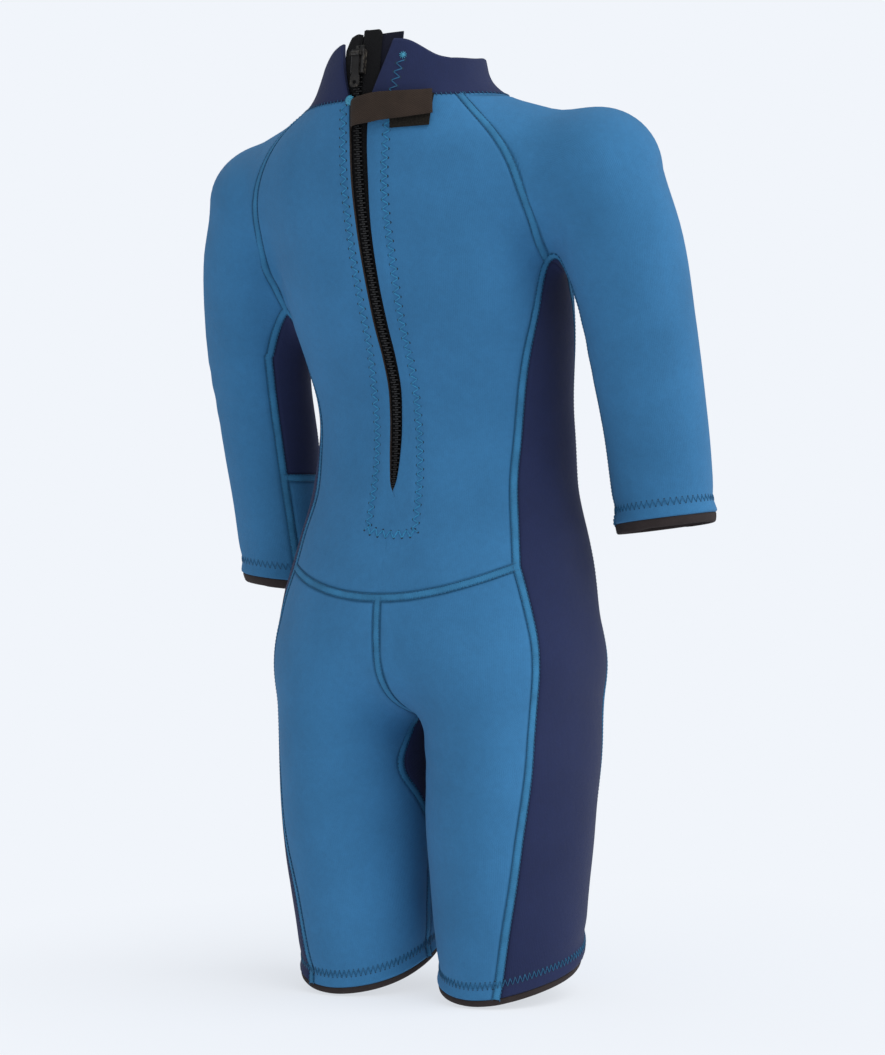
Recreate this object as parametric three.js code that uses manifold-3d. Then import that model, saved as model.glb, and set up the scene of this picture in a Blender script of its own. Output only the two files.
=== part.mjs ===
// A child's back-zip spring wetsuit (short sleeves, short legs), standing as if worn.
// Millimetres. +Z is up, the wearer faces +Y, +X is the wearer's right, the back opening faces -Y.
// One smooth body field gives the outer skin; every neoprene panel is a patch of it between seams.
import * as THREE from "three";
import { mergeVertices } from "three/addons/utils/BufferGeometryUtils.js";
import Module from "manifold-3d";

// ---------------------------------------------------------------- driving dimensions
const NEOPRENE = 3.0; // panel thickness
const SEAM_GAP = 0.45; // each panel stops this far short of a seam line
const TAPE_DEPTH = 3.8; // zip tape lies this far under the skin
const TAPE_THICKNESS = 0.8;
const TAPE_OUTER_X = 16;
const TAPE_INNER_X = 1.2;
const CHAIN_TOP_DEPTH = 0.9; // top of the teeth, under the skin
const CHAIN_HEIGHT = 2.4;
const CHAIN_HALF = 3.4;
const TOOTH_PITCH = 6.4;
const SLIT_HALF = 6; // half width of the zip opening in the back panel
const ZIP_TOP_Z = 676;
const ZIP_END_Z = 358;
// The slider runs on a true arc in the plane x = 0, so it can turn about one fixed axis.
const ARC_RADIUS = 340;
const ARC_Z = 610;
const ARC_BACK_Y = -105;
const ARC_END_Z = 462;
const SLIDER_Z = 664;
const WAIST_BACK_Z = 289;
const WAIST_FRONT_Z = 292;
const WAIST_SIDE_Z = 310;
const COLLAR_SEAM_Z = 637;
const LEG_HEM_TILT = 0.32; // leg hems rise to the front
const LEG_HEM_Z = 23.3;
const SLEEVE_HEM_TILT = 0.12; // sleeve hems rise to the outside
const SLEEVE_BAND = 7;
const LEG_BAND = 5;
const RING_Z = [500, 462]; // level ring where the arm tube begins, right then left
const ARMPIT_DROP = 22; // the left shoulder hangs lower, and its armpit with it
const GUSSET_SHARE = 0.53; // how far down the sleeve the underarm gusset reaches

// Body sections, bottom to top: [height, value].
const HALF_WIDTH = [
  [120, 112], [187, 121], [237, 124], [286, 119], [330, 109], [370, 101], [410, 98], [450, 101],
  [500, 107], [545, 108], [580, 100], [605, 86], [625, 72], [645, 62], [665, 56], [680, 53], [720, 52],
];
const BACK_LINE = [
  [120, -70], [165, -80], [200, -89], [237, -95], [286, -91], [330, -75], [365, -62], [400, -56.5],
  [430, -60], [ARC_END_Z, arcY(ARC_END_Z)],
];
const FRONT_LINE = [
  [120, 50], [187, 66], [237, 74], [286, 76], [330, 74], [380, 72], [430, 72], [480, 70], [520, 63],
  [560, 48], [590, 32], [620, 16], [650, 8], [680, 5], [720, 4],
];
const NECK_SHIFT = [[600, 0], [640, 4], [670, 7], [720, 7]];
// Limbs, bottom to top: [height, x, y, radius across, radius front to back].
const ARMS = {
  1: [[333, 165, 36, 36, 36], [410, 167, 14, 37, 38], [480, 167, -6, 39.5, 41],
    [540, 160, -20, 43.5, 43], [583, 149, -27, 44, 45]],
  [-1]: [[291, 162, 42, 34.5, 36], [400, 161, 16, 35.5, 37], [470, 156, -4, 38, 40],
    [536, 141, -20, 42.5, 43], [574, 130.6, -27, 41.5, 42.5]],
};
const LEG = [
  [-30, 58, -18, 47, 52], [0, 58.5, -18, 48.5, 54], [70, 60.5, -17, 53.5, 62], [130, 62, -15, 57.5, 71],
  [190, 62, -10, 58, 80], [240, 60, -6, 60, 87], [290, 58, -5, 56, 86],
];
// The slope from the neck to each shoulder: x, y, z and radius at its two ends.
const SHOULDER_BAR = {
  1: [[62, -42, 597, 45], [142, -27, 577, 42.5]],
  [-1]: [[61, -42, 593, 45.5], [121, -27, 580, 42]],
};

// Seam lines on the wearer's right, top to bottom: [x, y, z]. The left side mirrors them.
const RAGLAN_BACK = [
  [66, -74, 638], [86, -78, 620], [101, -80, 602], [110, -79, 584], [114, -72, 564],
  [114, -60, 548], [111, -46, 534], [110, -32, 522],
];
const RAGLAN_FRONT = [
  [60, -8, 640], [82, 4, 622], [98, 13, 603], [107, 17, 584], [112, 15, 564],
  [112, 9, 548], [110, 2, 534], [109, -5, 522],
];
const NECK_SIDE = [[66, -74, 638], [80, -59, 643], [85, -41, 645], [78, -24, 643], [60, -8, 640]];
const SIDE_BACK = [
  [110, -32, 522], [104, -34, 500], [97, -35, 470], [89, -33, 440], [84, -32, 405], [83, -36, 382],
  [84, -41, 362], [89, -49, 336], [94, -57, 310], [102, -59, 286], [106, -58, 262], [107, -59, 238],
  [107, -61, 212], [106, -63, 190], [105, -65, 168], [102, -67, 145], [97, -68, 118], [91, -68, 86],
  [85, -68, 54], [80, -68, 26], [76, -67, 7.6],
];
const SIDE_FRONT = [
  [109, -5, 522], [102, 13, 500], [94, 26, 470], [87, 32, 440], [83, 36, 405], [84, 37, 382],
  [87, 38, 362], [94, 38, 336], [100, 37, 310], [105, 36, 286], [108, 34, 262], [109, 32, 238],
  [109, 30, 212], [109, 29, 190], [108, 28, 168], [106, 28, 145], [102, 28, 118], [98, 27, 93.5],
  [94, 26, 69], [90, 26, 48], [86, 26, 37.4],
];
const BACK_ROWS = [637, 622, 607, 592, 576, 560, 545, 530, 500, 470, 440, 408, 382, ZIP_END_Z, 325, WAIST_BACK_Z];
const FRONT_ROWS = [636, 618, 601, 584, 568, 552, 538, 525, 500, 470, 440, 408, 382, 358, 325, WAIST_FRONT_Z];
const LEG_ROWS = [0, 268, 247, 226, 206, 187, 168, 145, 118, 90, 62, 38, LEG_HEM_Z];
const CROTCH_ROW = 5;
const CROTCH_BACK = [0, -50, 187];
const CROTCH_FRONT = [0, 34, 190];
const GUSSET_ANGLES = [0, 34, 20, 0.6]; // half width of the crotch gusset on the thigh, row by row
const ARMPIT_ROW = 7;
const HALF_COLUMNS = 6;
const SIDE_COLUMNS = 3;
const UPPER_SLEEVE_ROWS = 6;
const LOWER_SLEEVE_STEPS = [0.18, 0.36, GUSSET_SHARE, 0.76, 1];
const GUSSET_ROW = UPPER_SLEEVE_ROWS + 3;
const SLEEVE_TOP = [[149, -27, 582], [130.6, -27, 573]]; // centre of the shoulder cap, right then left
const SLEEVE_HEM_Z = [340, 298];
const BACK_SEAM_ANGLE = [30, 45]; // where the underarm seam runs down the back of each sleeve, in degrees

// ---------------------------------------------------------------- materials
const material = (color, roughness, metalness = 0) =>
  new THREE.MeshStandardMaterial({ color, roughness, metalness });
const BLUE = () => material(0x3a78ac, 0.85);
const NAVY = () => material(0x2a3560, 0.85);
const DARK = () => material(0x3a3230, 0.9);
const BLACK = () => material(0x141416, 0.6);
const WEBBING = () => material(0x2f2926, 0.8);

// ---------------------------------------------------------------- the body field
function arcY(z) {
  const d = z - ARC_Z;
  return ARC_BACK_Y + ARC_RADIUS - Math.sqrt(ARC_RADIUS * ARC_RADIUS - d * d);
}

/** Smooth curve through rows [height, value, ...], read at one height. */
function profile(rows, z, column = 1) {
  const last = rows.length - 1;
  const at = Math.min(Math.max(z, rows[0][0]), rows[last][0]);
  let i = 0;
  while (i < last - 1 && rows[i + 1][0] < at) i += 1;
  const slope = (k) => {
    const a = Math.max(k - 1, 0);
    const b = Math.min(k + 1, last);
    return (rows[b][column] - rows[a][column]) / (rows[b][0] - rows[a][0]);
  };
  const h = rows[i + 1][0] - rows[i][0];
  const t = (at - rows[i][0]) / h;
  const t2 = t * t;
  const t3 = t2 * t;
  return (2 * t3 - 3 * t2 + 1) * rows[i][column] + (t3 - 2 * t2 + t) * h * slope(i)
    + (3 * t2 - 2 * t3) * rows[i + 1][column] + (t3 - t2) * h * slope(i + 1);
}

function softMin(a, b, k) {
  const h = Math.max(k - Math.abs(a - b), 0) / k;
  return Math.min(a, b) - h * h * k * 0.25;
}

const softMax = (a, b, k) => -softMin(-a, -b, k);

const backLine = (z) => (z >= ARC_END_Z ? arcY(z) : profile(BACK_LINE, z));

function torsoField(x, y, z) {
  const a = profile(HALF_WIDTH, z);
  const back = backLine(z);
  const front = profile(FRONT_LINE, z);
  const b = (front - back) / 2;
  const n = 2.35;
  const u = Math.abs((x - profile(NECK_SHIFT, z)) / a) ** n;
  const v = Math.abs((y - (front + back) / 2) / b) ** n;
  const f = ((u + v) ** (1 / n) - 1) * Math.min(a, b);
  return softMax(f, 205 - z, 60);
}

function tubeField(rows, side, x, y, z) {
  const rx = profile(rows, z, 3);
  const ry = profile(rows, z, 4);
  const dx = (x - side * profile(rows, z, 1)) / rx;
  const dy = (y - profile(rows, z, 2)) / ry;
  return (Math.hypot(dx, dy) - 1) * Math.min(rx, ry);
}

function armField(side, x, y, z) {
  const rows = ARMS[side];
  const top = rows[rows.length - 1];
  if (z > top[0]) return Math.hypot(x - side * top[1], y - top[2], z - top[0]) - top[3];
  return tubeField(rows, side, x, y, z);
}

function barField(side, x, y, z) {
  const [a, b] = SHOULDER_BAR[side];
  const from = new THREE.Vector3(side * a[0], a[1], a[2]);
  const along = new THREE.Vector3(side * b[0], b[1], b[2]).sub(from);
  const p = new THREE.Vector3(x, y, z).sub(from);
  const t = THREE.MathUtils.clamp(p.dot(along) / along.lengthSq(), 0, 1);
  return p.addScaledVector(along, -t).length() - (a[3] + (b[3] - a[3]) * t);
}

/** Signed distance-like field: zero on the outer skin, negative inside the wearer. */
function field(p) {
  const { x, y, z } = p;
  let f = torsoField(x, y, z);
  for (const side of [1, -1]) {
    const limb = softMin(barField(side, x, y, z), armField(side, x, y, z), 12);
    f = softMin(f, limb, 24);
  }
  const thighs = softMin(tubeField(LEG, 1, x, y, z), tubeField(LEG, -1, x, y, z), 4);
  return softMin(f, softMax(thighs, z - 268, 50), 16);
}

function gradient(p) {
  const e = 0.25;
  const d = (axis) => {
    const q = p.clone();
    q[axis] += e;
    const ahead = field(q);
    q[axis] -= 2 * e;
    return (ahead - field(q)) / (2 * e);
  };
  return new THREE.Vector3(d("x"), d("y"), d("z"));
}

/** Moves a point onto the skin along the field's own slope. */
function settle(p) {
  const q = p.clone();
  for (let i = 0; i < 10; i += 1) {
    const g = gradient(q);
    q.addScaledVector(g, -field(q) / Math.max(g.lengthSq(), 1e-3));
  }
  return q;
}

/** First skin crossing on a path given by a distance; inside at the start when going outwards. */
function crossing(path, from, to) {
  const steps = 80;
  const sign = Math.sign(field(path(from)));
  let low = from;
  let high = to;
  for (let i = 1; i <= steps; i += 1) {
    const t = from + ((to - from) * i) / steps;
    if (Math.sign(field(path(t))) !== sign) {
      high = t;
      break;
    }
    low = t;
  }
  for (let i = 0; i < 30; i += 1) {
    const mid = (low + high) / 2;
    if (Math.sign(field(path(mid))) === sign) low = mid;
    else high = mid;
  }
  return path((low + high) / 2);
}

const skinBehind = (x, z) => crossing((t) => new THREE.Vector3(x, t, z), -220, 0);
const skinInFront = (x, z) => crossing((t) => new THREE.Vector3(x, t, z), 220, -30);
/** A seam point on one side; on the left the armpit region hangs lower. */
function mirrored([x, y, z], side) {
  const share = THREE.MathUtils.smoothstep(z, 400, 480) * (1 - THREE.MathUtils.smoothstep(z, 540, 638));
  return new THREE.Vector3(side * x, y, z - (side < 0 ? ARMPIT_DROP * share : 0));
}
const seamLine = (rows, side) => rows.map((row) => settle(mirrored(row, side)));

// ---------------------------------------------------------------- panels as thick patches
/** Pulls the edge vertices of a patch back from its seams, along the skin. */
function insetEdges(grid, gap, edges) {
  const rows = grid.length;
  const cols = grid[0].length;
  const out = grid.map((row) => row.map((p) => p.clone()));
  const pull = (i, j, toI, toJ, alongI, alongJ) => {
    const p = grid[i][j];
    const inward = grid[toI][toJ].clone().sub(p);
    const along = grid[alongI[0]][alongI[1]].clone().sub(grid[alongJ[0]][alongJ[1]]);
    if (along.lengthSq() > 0) {
      along.normalize();
      inward.addScaledVector(along, -inward.dot(along));
    }
    if (inward.lengthSq() > 0) out[i][j].addScaledVector(inward.normalize(), gap);
  };
  for (let i = 0; i < rows; i += 1) {
    const a = [Math.max(i - 1, 0), 0];
    const b = [Math.min(i + 1, rows - 1), 0];
    if (edges.left) pull(i, 0, i, 1, a, b);
    if (edges.right) {
      pull(i, cols - 1, i, cols - 2, [a[0], cols - 1], [b[0], cols - 1]);
    }
  }
  for (let j = 0; j < cols; j += 1) {
    const a = [0, Math.max(j - 1, 0)];
    const b = [0, Math.min(j + 1, cols - 1)];
    if (edges.top) pull(0, j, 1, j, a, b);
    if (edges.bottom) pull(rows - 1, j, rows - 2, j, [rows - 1, a[1]], [rows - 1, b[1]]);
  }
  return out;
}

/** Closed shell from outer and inner grids; cells the test refuses are left open. */
function shell(outer, inner, present = () => true, wrap = false) {
  const rows = outer.length;
  const cols = outer[0].length;
  const cellCols = wrap ? cols : cols - 1;
  const at = (i, j, layer) => (layer * rows + i) * cols + (j % cols);
  const vertices = [];
  for (const layer of [outer, inner]) {
    for (const row of layer) for (const p of row) vertices.push(p.x, p.y, p.z);
  }
  const here = (i, j) => {
    if (i < 0 || i >= rows - 1) return false;
    if (!wrap && (j < 0 || j >= cellCols)) return false;
    return present(i, (j + cellCols) % cellCols);
  };
  const faces = [];
  const quad = (a, b, c, d) => faces.push(a, b, c, a, c, d);
  for (let i = 0; i < rows - 1; i += 1) {
    for (let j = 0; j < cellCols; j += 1) {
      if (!here(i, j)) continue;
      quad(at(i, j, 0), at(i + 1, j, 0), at(i + 1, j + 1, 0), at(i, j + 1, 0));
      quad(at(i, j, 1), at(i, j + 1, 1), at(i + 1, j + 1, 1), at(i + 1, j, 1));
      if (!here(i - 1, j)) quad(at(i, j, 0), at(i, j + 1, 0), at(i, j + 1, 1), at(i, j, 1));
      if (!here(i + 1, j)) {
        quad(at(i + 1, j + 1, 0), at(i + 1, j, 0), at(i + 1, j, 1), at(i + 1, j + 1, 1));
      }
      if (!here(i, j - 1)) quad(at(i + 1, j, 0), at(i, j, 0), at(i, j, 1), at(i + 1, j, 1));
      if (!here(i, j + 1)) {
        quad(at(i, j + 1, 0), at(i + 1, j + 1, 0), at(i + 1, j + 1, 1), at(i, j + 1, 1));
      }
    }
  }
  const geometry = new THREE.BufferGeometry();
  geometry.setAttribute("position", new THREE.Float32BufferAttribute(vertices, 3));
  geometry.setIndex(facingOut(vertices, faces));
  return geometry;
}

function facingOut(vertices, faces) {
  let volume = 0;
  const v = (k) => new THREE.Vector3(...vertices.slice(3 * k, 3 * k + 3));
  for (let k = 0; k < faces.length; k += 3) {
    volume += v(faces[k]).dot(v(faces[k + 1]).cross(v(faces[k + 2])));
  }
  if (volume > 0) return faces;
  const turned = [];
  for (let k = 0; k < faces.length; k += 3) turned.push(faces[k], faces[k + 2], faces[k + 1]);
  return turned;
}

/** A patch of skin made into sheet between two depths under the skin. */
function sheetOf(grid, depth, thickness, options = {}) {
  const top = typeof depth === "function" ? depth : () => depth;
  const sunk = (extra) => (row, i) => row.map((p, j) =>
    p.clone().addScaledVector(gradient(p).normalize(), -(top(i, j) + extra)));
  const edges = options.edges || { left: true, right: true, top: true, bottom: true };
  const inset = insetEdges(grid, options.gap === undefined ? SEAM_GAP : options.gap, edges);
  const outer = inset.map(sunk(0));
  const inner = inset.map(sunk(thickness));
  return shell(outer, inner, options.present, options.wrap);
}

const group = new THREE.Group();

function add(name, geometry, look) {
  const mesh = new THREE.Mesh(geometry, look);
  mesh.name = name;
  group.add(mesh);
}

const sideName = (side) => (side > 0 ? "right" : "left");
const columnsOf = (grid, from, to) => grid.map((row) => row.slice(from, to + 1));

// ---------------------------------------------------------------- back and chest panels
const seams = {};
for (const side of [1, -1]) {
  seams[side] = {
    raglanBack: seamLine(RAGLAN_BACK, side),
    raglanFront: seamLine(RAGLAN_FRONT, side),
    neckSide: seamLine(NECK_SIDE, side),
    sideBack: seamLine(SIDE_BACK, side),
    sideFront: seamLine(SIDE_FRONT, side),
  };
  const s = seams[side];
  s.backEdge = [...s.raglanBack.slice(0, ARMPIT_ROW), ...s.sideBack];
  s.frontEdge = [...s.raglanFront.slice(0, ARMPIT_ROW), ...s.sideFront];
}
const WAIST_ROW = BACK_ROWS.length - 1;

/** Half width of the zip opening at a height; it closes to a narrow end at the bottom. */
function slitHalf(z) {
  const closing = THREE.MathUtils.clamp((z - ZIP_END_Z) / 60, 0, 1);
  return 3 + (SLIT_HALF - 3) * Math.sqrt(closing);
}

/** One torso row from the left seam to the right one; a split row has no point on the centre line. */
function torsoRow(i, heights, edge, skin, split) {
  const z = heights[i];
  const middle = split ? slitHalf(z) : 0;
  const half = (side) => {
    const end = seams[side][edge][i];
    const out = [];
    for (let j = split ? 0 : 1; j < HALF_COLUMNS; j += 1) {
      const t = j / HALF_COLUMNS;
      const x = side * middle + (end.x - side * middle) * t;
      out.push(skin(x, z + (end.z - z) * t * t));
    }
    return [...out, end];
  };
  return [...half(-1).reverse(), ...(split ? [] : [skin(0, z)]), ...half(1)];
}

const backGrid = BACK_ROWS.map((_, i) => torsoRow(i, BACK_ROWS, "backEdge", skinBehind, true));
const chestGrid = FRONT_ROWS.map((_, i) => torsoRow(i, FRONT_ROWS, "frontEdge", skinInFront, false));
const slitRow = BACK_ROWS.indexOf(ZIP_END_Z);
const openSlit = (i, j) => !(j === HALF_COLUMNS && i < slitRow);
add("back_panel", sheetOf(backGrid, 0, NEOPRENE, { present: openSlit }), BLUE());
add("chest_panel", sheetOf(chestGrid, 0, NEOPRENE), BLUE());

// ---------------------------------------------------------------- legs
/** Skin point round a leg; the angle runs from the inner thigh, positive towards the back. */
function legPoint(side, row, angle) {
  const base = LEG_ROWS[row];
  const tilt = LEG_HEM_TILT * THREE.MathUtils.clamp((row - 8) / 4, 0, 1);
  const cx = side * profile(LEG, base, 1);
  const cy = profile(LEG, base, 2);
  return crossing((r) => {
    const y = cy - r * Math.sin(angle);
    return new THREE.Vector3(cx - side * r * Math.cos(angle), y, base + tilt * (y + 18));
  }, 5, 140);
}

function legAngle(side, row, p) {
  const cx = side * profile(LEG, LEG_ROWS[row], 1);
  const cy = profile(LEG, LEG_ROWS[row], 2);
  return Math.atan2(cy - p.y, -side * (p.x - cx));
}

/** One leg panel, from the centre or inner thigh seam to the side seam; facing +1 is the back. */
function legGrid(side, facing) {
  const s = seams[side];
  const edge = (facing > 0 ? s.sideBack : s.sideFront).slice(WAIST_ROW - ARMPIT_ROW);
  const waist = facing > 0 ? backGrid[WAIST_ROW] : chestGrid[WAIST_ROW];
  const waistEnds = side > 0 ? waist.slice(-HALF_COLUMNS) : waist.slice(0, HALF_COLUMNS).reverse();
  const crotch = settle(new THREE.Vector3(...(facing > 0 ? CROTCH_BACK : CROTCH_FRONT)));
  const skin = facing > 0 ? skinBehind : skinInFront;
  return LEG_ROWS.map((z, i) => {
    const end = edge[i];
    if (i === 0) return [skin(0, facing > 0 ? WAIST_BACK_Z : WAIST_FRONT_Z), ...waistEnds];
    const row = [];
    const k = i - CROTCH_ROW;
    const inner = facing * THREE.MathUtils.degToRad(GUSSET_ANGLES[k] || 0);
    const first = k === 0 ? legAngle(side, i, crotch) : inner;
    for (let j = 0; j < HALF_COLUMNS; j += 1) {
      const t = j / HALF_COLUMNS;
      if (k < 0) row.push(skin(end.x * t, z + (end.z - z) * t * t));
      else if (k === 0 && j === 0) row.push(crotch);
      else row.push(legPoint(side, i, first + (legAngle(side, i, end) - first) * t));
    }
    return [...row, end];
  });
}

const legs = {};
for (const side of [1, -1]) {
  legs[side] = { back: legGrid(side, 1), front: legGrid(side, -1) };
  add("leg_back_" + sideName(side), sheetOf(legs[side].back, 0, NEOPRENE), BLUE());
  add("leg_front_" + sideName(side), sheetOf(legs[side].front, 0, NEOPRENE), BLUE());
}

/** Cross strip of the crotch gusset between the back and front inner thigh seams. */
function gussetStrip(k, side) {
  const row = CROTCH_ROW + k;
  const from = legs[side].back[row][0];
  const to = legs[side].front[row][0];
  const out = [from];
  for (let j = 1; j < 4; j += 1) {
    const t = j / 4;
    if (k === 0) {
      const z = THREE.MathUtils.lerp(from.z, to.z, t) - 10 * Math.sin(Math.PI * t);
      out.push(settle(new THREE.Vector3(0, THREE.MathUtils.lerp(from.y, to.y, t), z)));
    } else {
      const angle = THREE.MathUtils.degToRad(GUSSET_ANGLES[k]) * (1 - 2 * t);
      out.push(legPoint(side, row, angle));
    }
  }
  return [...out, to];
}
const gussetRows = [3, 2, 1].map((k) => gussetStrip(k, -1));
gussetRows.push(gussetStrip(0, 1), ...[1, 2, 3].map((k) => gussetStrip(k, 1)));
add("crotch_gusset", sheetOf(gussetRows, 0, NEOPRENE), NAVY());

// ---------------------------------------------------------------- side panels
const sidePanels = {};
for (const side of [1, -1]) {
  const { sideBack, sideFront } = seams[side];
  sidePanels[side] = sideBack.map((from, i) => {
    const row = [from];
    for (let j = 1; j < SIDE_COLUMNS; j += 1) {
      const p = from.clone().lerp(sideFront[i], j / SIDE_COLUMNS);
      p.x += side * (i > 2 ? 8 : 0);
      row.push(settle(p));
    }
    return [...row, sideFront[i]];
  });
  add("side_panel_" + sideName(side), sheetOf(sidePanels[side], 0, NEOPRENE, { gap: 0.6 }), NAVY());
}

// ---------------------------------------------------------------- sleeves
const pick = (pair, side) => pair[side > 0 ? 0 : 1];

/** Direction round the arm of each loop column: 0 is towards the body, 90 is the back. */
function sleeveAngles(side) {
  const first = pick(BACK_SEAM_ANGLE, side);
  const spread = (from, to, steps) =>
    Array.from({ length: steps }, (_, k) => from + ((to - from) * k) / steps);
  const degrees = [
    ...spread(first, 150, ARMPIT_ROW), ...spread(150, 210, 4), ...spread(210, 315, ARMPIT_ROW),
    ...spread(315, 360 + first, SIDE_COLUMNS),
  ];
  return degrees.map(THREE.MathUtils.degToRad);
}

/** The armhole, from the back of the armpit over the shoulder to the front and back again. */
function armhole(side) {
  const { raglanBack, raglanFront, neckSide } = seams[side];
  const back = [...raglanBack].reverse();
  const under = sidePanels[side][0].slice(1, SIDE_COLUMNS).reverse();
  return [...back, ...neckSide.slice(1, 4), ...raglanFront, ...under];
}

function armRing(side, z, tilt, angle) {
  const rows = ARMS[side];
  const cx = side * profile(rows, z, 1);
  const cy = profile(rows, z, 2);
  return crossing((r) => new THREE.Vector3(
    cx - side * r * Math.cos(angle), cy - r * Math.sin(angle), z - tilt * r * Math.cos(angle),
  ), 5, 60);
}

/** Skin point on the way from the armhole over the shoulder cap to the arm ring. */
function capPoint(centre, from, to, angle, t) {
  const a = from.clone().sub(centre).normalize();
  const b = to.clone().sub(centre).normalize();
  const side = Math.sign(centre.x);
  const over = new THREE.Vector3(-side * Math.cos(angle), -Math.sin(angle), 0.75).normalize();
  const lift = 2.4 * Math.max(0, -Math.cos(angle));
  const along = a.multiplyScalar((1 - t) * (1 - t)).addScaledVector(over, lift * t * (1 - t))
    .addScaledVector(b, t * t).normalize();
  return crossing((r) => centre.clone().addScaledVector(along, r), 5, 140);
}

function sleeveGrid(side) {
  const angles = sleeveAngles(side);
  const loop = armhole(side);
  const centre = new THREE.Vector3(...pick(SLEEVE_TOP, side));
  centre.x *= side;
  const hem = pick(SLEEVE_HEM_Z, side);
  const ringZ = pick(RING_Z, side);
  const ring = angles.map((angle) => armRing(side, ringZ, 0, angle));
  const rows = [loop];
  for (let i = 1; i < UPPER_SLEEVE_ROWS; i += 1) {
    rows.push(loop.map((p, j) =>
      capPoint(centre, p, ring[j], angles[j], i / UPPER_SLEEVE_ROWS)));
  }
  rows.push(ring);
  for (const t of LOWER_SLEEVE_STEPS) {
    rows.push(angles.map((angle) =>
      armRing(side, ringZ + (hem - ringZ) * t, SLEEVE_HEM_TILT * t, angle)));
  }
  return rows.map((row) => [...row, row[0]]);
}

const OUTER_SLEEVE_COLUMNS = 2 * ARMPIT_ROW + 4;
for (const side of [1, -1]) {
  const grid = sleeveGrid(side);
  const name = sideName(side);
  const inner = columnsOf(grid, OUTER_SLEEVE_COLUMNS, OUTER_SLEEVE_COLUMNS + SIDE_COLUMNS);
  const outer = columnsOf(grid, 0, OUTER_SLEEVE_COLUMNS);
  add("sleeve_" + name, sheetOf(outer, 0, NEOPRENE), BLUE());
  const gusset = sheetOf(inner.slice(0, GUSSET_ROW + 1), 0, NEOPRENE, { gap: 0.9 });
  add("underarm_gusset_" + name, gusset, NAVY());
  add("sleeve_inner_" + name, sheetOf(inner.slice(GUSSET_ROW), 0, NEOPRENE), BLUE());
  const hem = pick(SLEEVE_HEM_Z, side);
  const ends = [hem, hem - SLEEVE_BAND].map((z) =>
    sleeveAngles(side).map((angle) => armRing(side, z, SLEEVE_HEM_TILT, angle)));
  const edges = { top: true, bottom: false };
  add("sleeve_hem_" + name, sheetOf(ends, 0, NEOPRENE, { edges, wrap: true }), DARK());
}

// ---------------------------------------------------------------- leg hem bands
for (const side of [1, -1]) {
  const { back, front } = legs[side];
  const last = LEG_ROWS.length - 1;
  const sideEdge = sidePanels[side][sidePanels[side].length - 1];
  const loop = [
    ...back[last].slice(0, -1), ...sideEdge.slice(0, -1), ...[...front[last]].reverse().slice(0, -1),
  ];
  const lower = loop.map((p) => settle(p.clone().add(new THREE.Vector3(0, 0, -LEG_BAND))));
  const edges = { top: true, bottom: false };
  const band = sheetOf([loop, lower], 0, NEOPRENE, { edges, wrap: true });
  add("leg_hem_" + sideName(side), band, DARK());
}

// ---------------------------------------------------------------- collar
const COLLAR_ROWS = 3;
const COLLAR_RISE = [[-0.2, 42], [0.45, 40], [1.1, 26], [2.2, 30], [3.3, 34]]; // angle from the back, rise
const FLAP_OPENING = { 1: 17, [-1]: 9 }; // how far each collar edge lies open at the rim

function collarGrid(side) {
  const middle = backGrid[0].length / 2;
  const backRow = side > 0 ? backGrid[0].slice(middle) : backGrid[0].slice(0, middle).reverse();
  const half = (chestGrid[0].length - 1) / 2;
  const row = chestGrid[0];
  const frontRow = side > 0 ? row.slice(half).reverse() : row.slice(0, half + 1);
  const base = [...backRow, ...seams[side].neckSide.slice(1, 4), ...frontRow];
  const rows = [base];
  for (let k = 1; k <= COLLAR_ROWS; k += 1) {
    const share = k / COLLAR_ROWS;
    rows.push(base.map((p, j) => {
      const cx = profile(NECK_SHIFT, p.z);
      const away = Math.atan2(Math.abs(p.x - cx), -(p.y + 48));
      const z = p.z + profile(COLLAR_RISE, away) * share;
      const axis = new THREE.Vector3(profile(NECK_SHIFT, z), (backLine(z) + profile(FRONT_LINE, z)) / 2, z);
      const open = side * FLAP_OPENING[side] * share * Math.max(0, 1 - j / HALF_COLUMNS);
      const out = new THREE.Vector3(p.x + open - axis.x, p.y - axis.y, 0).normalize();
      return crossing((r) => axis.clone().addScaledVector(out, r), 2, 160);
    }));
  }
  return rows;
}
for (const side of [1, -1]) {
  add("collar_" + sideName(side), sheetOf(collarGrid(side), 0, NEOPRENE), NAVY());
}

// ---------------------------------------------------------------- zip
const zipPoint = (x, z) => new THREE.Vector3(x, backLine(z), z);
const steps = (from, to, count) =>
  Array.from({ length: count + 1 }, (_, k) => from + ((to - from) * k) / count);
const tapeHeights = steps(ZIP_TOP_Z, ZIP_END_Z - 6, 26);
for (const side of [1, -1]) {
  const grid = tapeHeights.map((z) =>
    [TAPE_INNER_X, (TAPE_INNER_X + TAPE_OUTER_X) / 2, TAPE_OUTER_X].map((x) => skinBehind(side * x, z)));
  add("zip_tape_" + sideName(side), sheetOf(grid, TAPE_DEPTH, TAPE_THICKNESS, { gap: 0 }), BLACK());
}

/** One row of interlocking teeth: the inner edge steps in and out across the centre line. */
const CHAIN_END_Z = 366;
const toothCount = Math.floor((ZIP_TOP_Z - 4 - CHAIN_END_Z) / (TOOTH_PITCH / 2));
for (const side of [1, -1]) {
  const grid = [];
  for (let k = 0; k <= toothCount; k += 1) {
    const z = CHAIN_END_Z + k * (TOOTH_PITCH / 2);
    const tip = (k % 2 ? 0.9 : -0.9) + side * 0.2;
    grid.push([zipPoint(tip, z), zipPoint(side * CHAIN_HALF, z)]);
  }
  const teeth = sheetOf(grid, CHAIN_TOP_DEPTH, CHAIN_HEIGHT, { gap: 0 });
  add("zip_teeth_" + sideName(side), teeth, BLACK());
}

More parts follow.
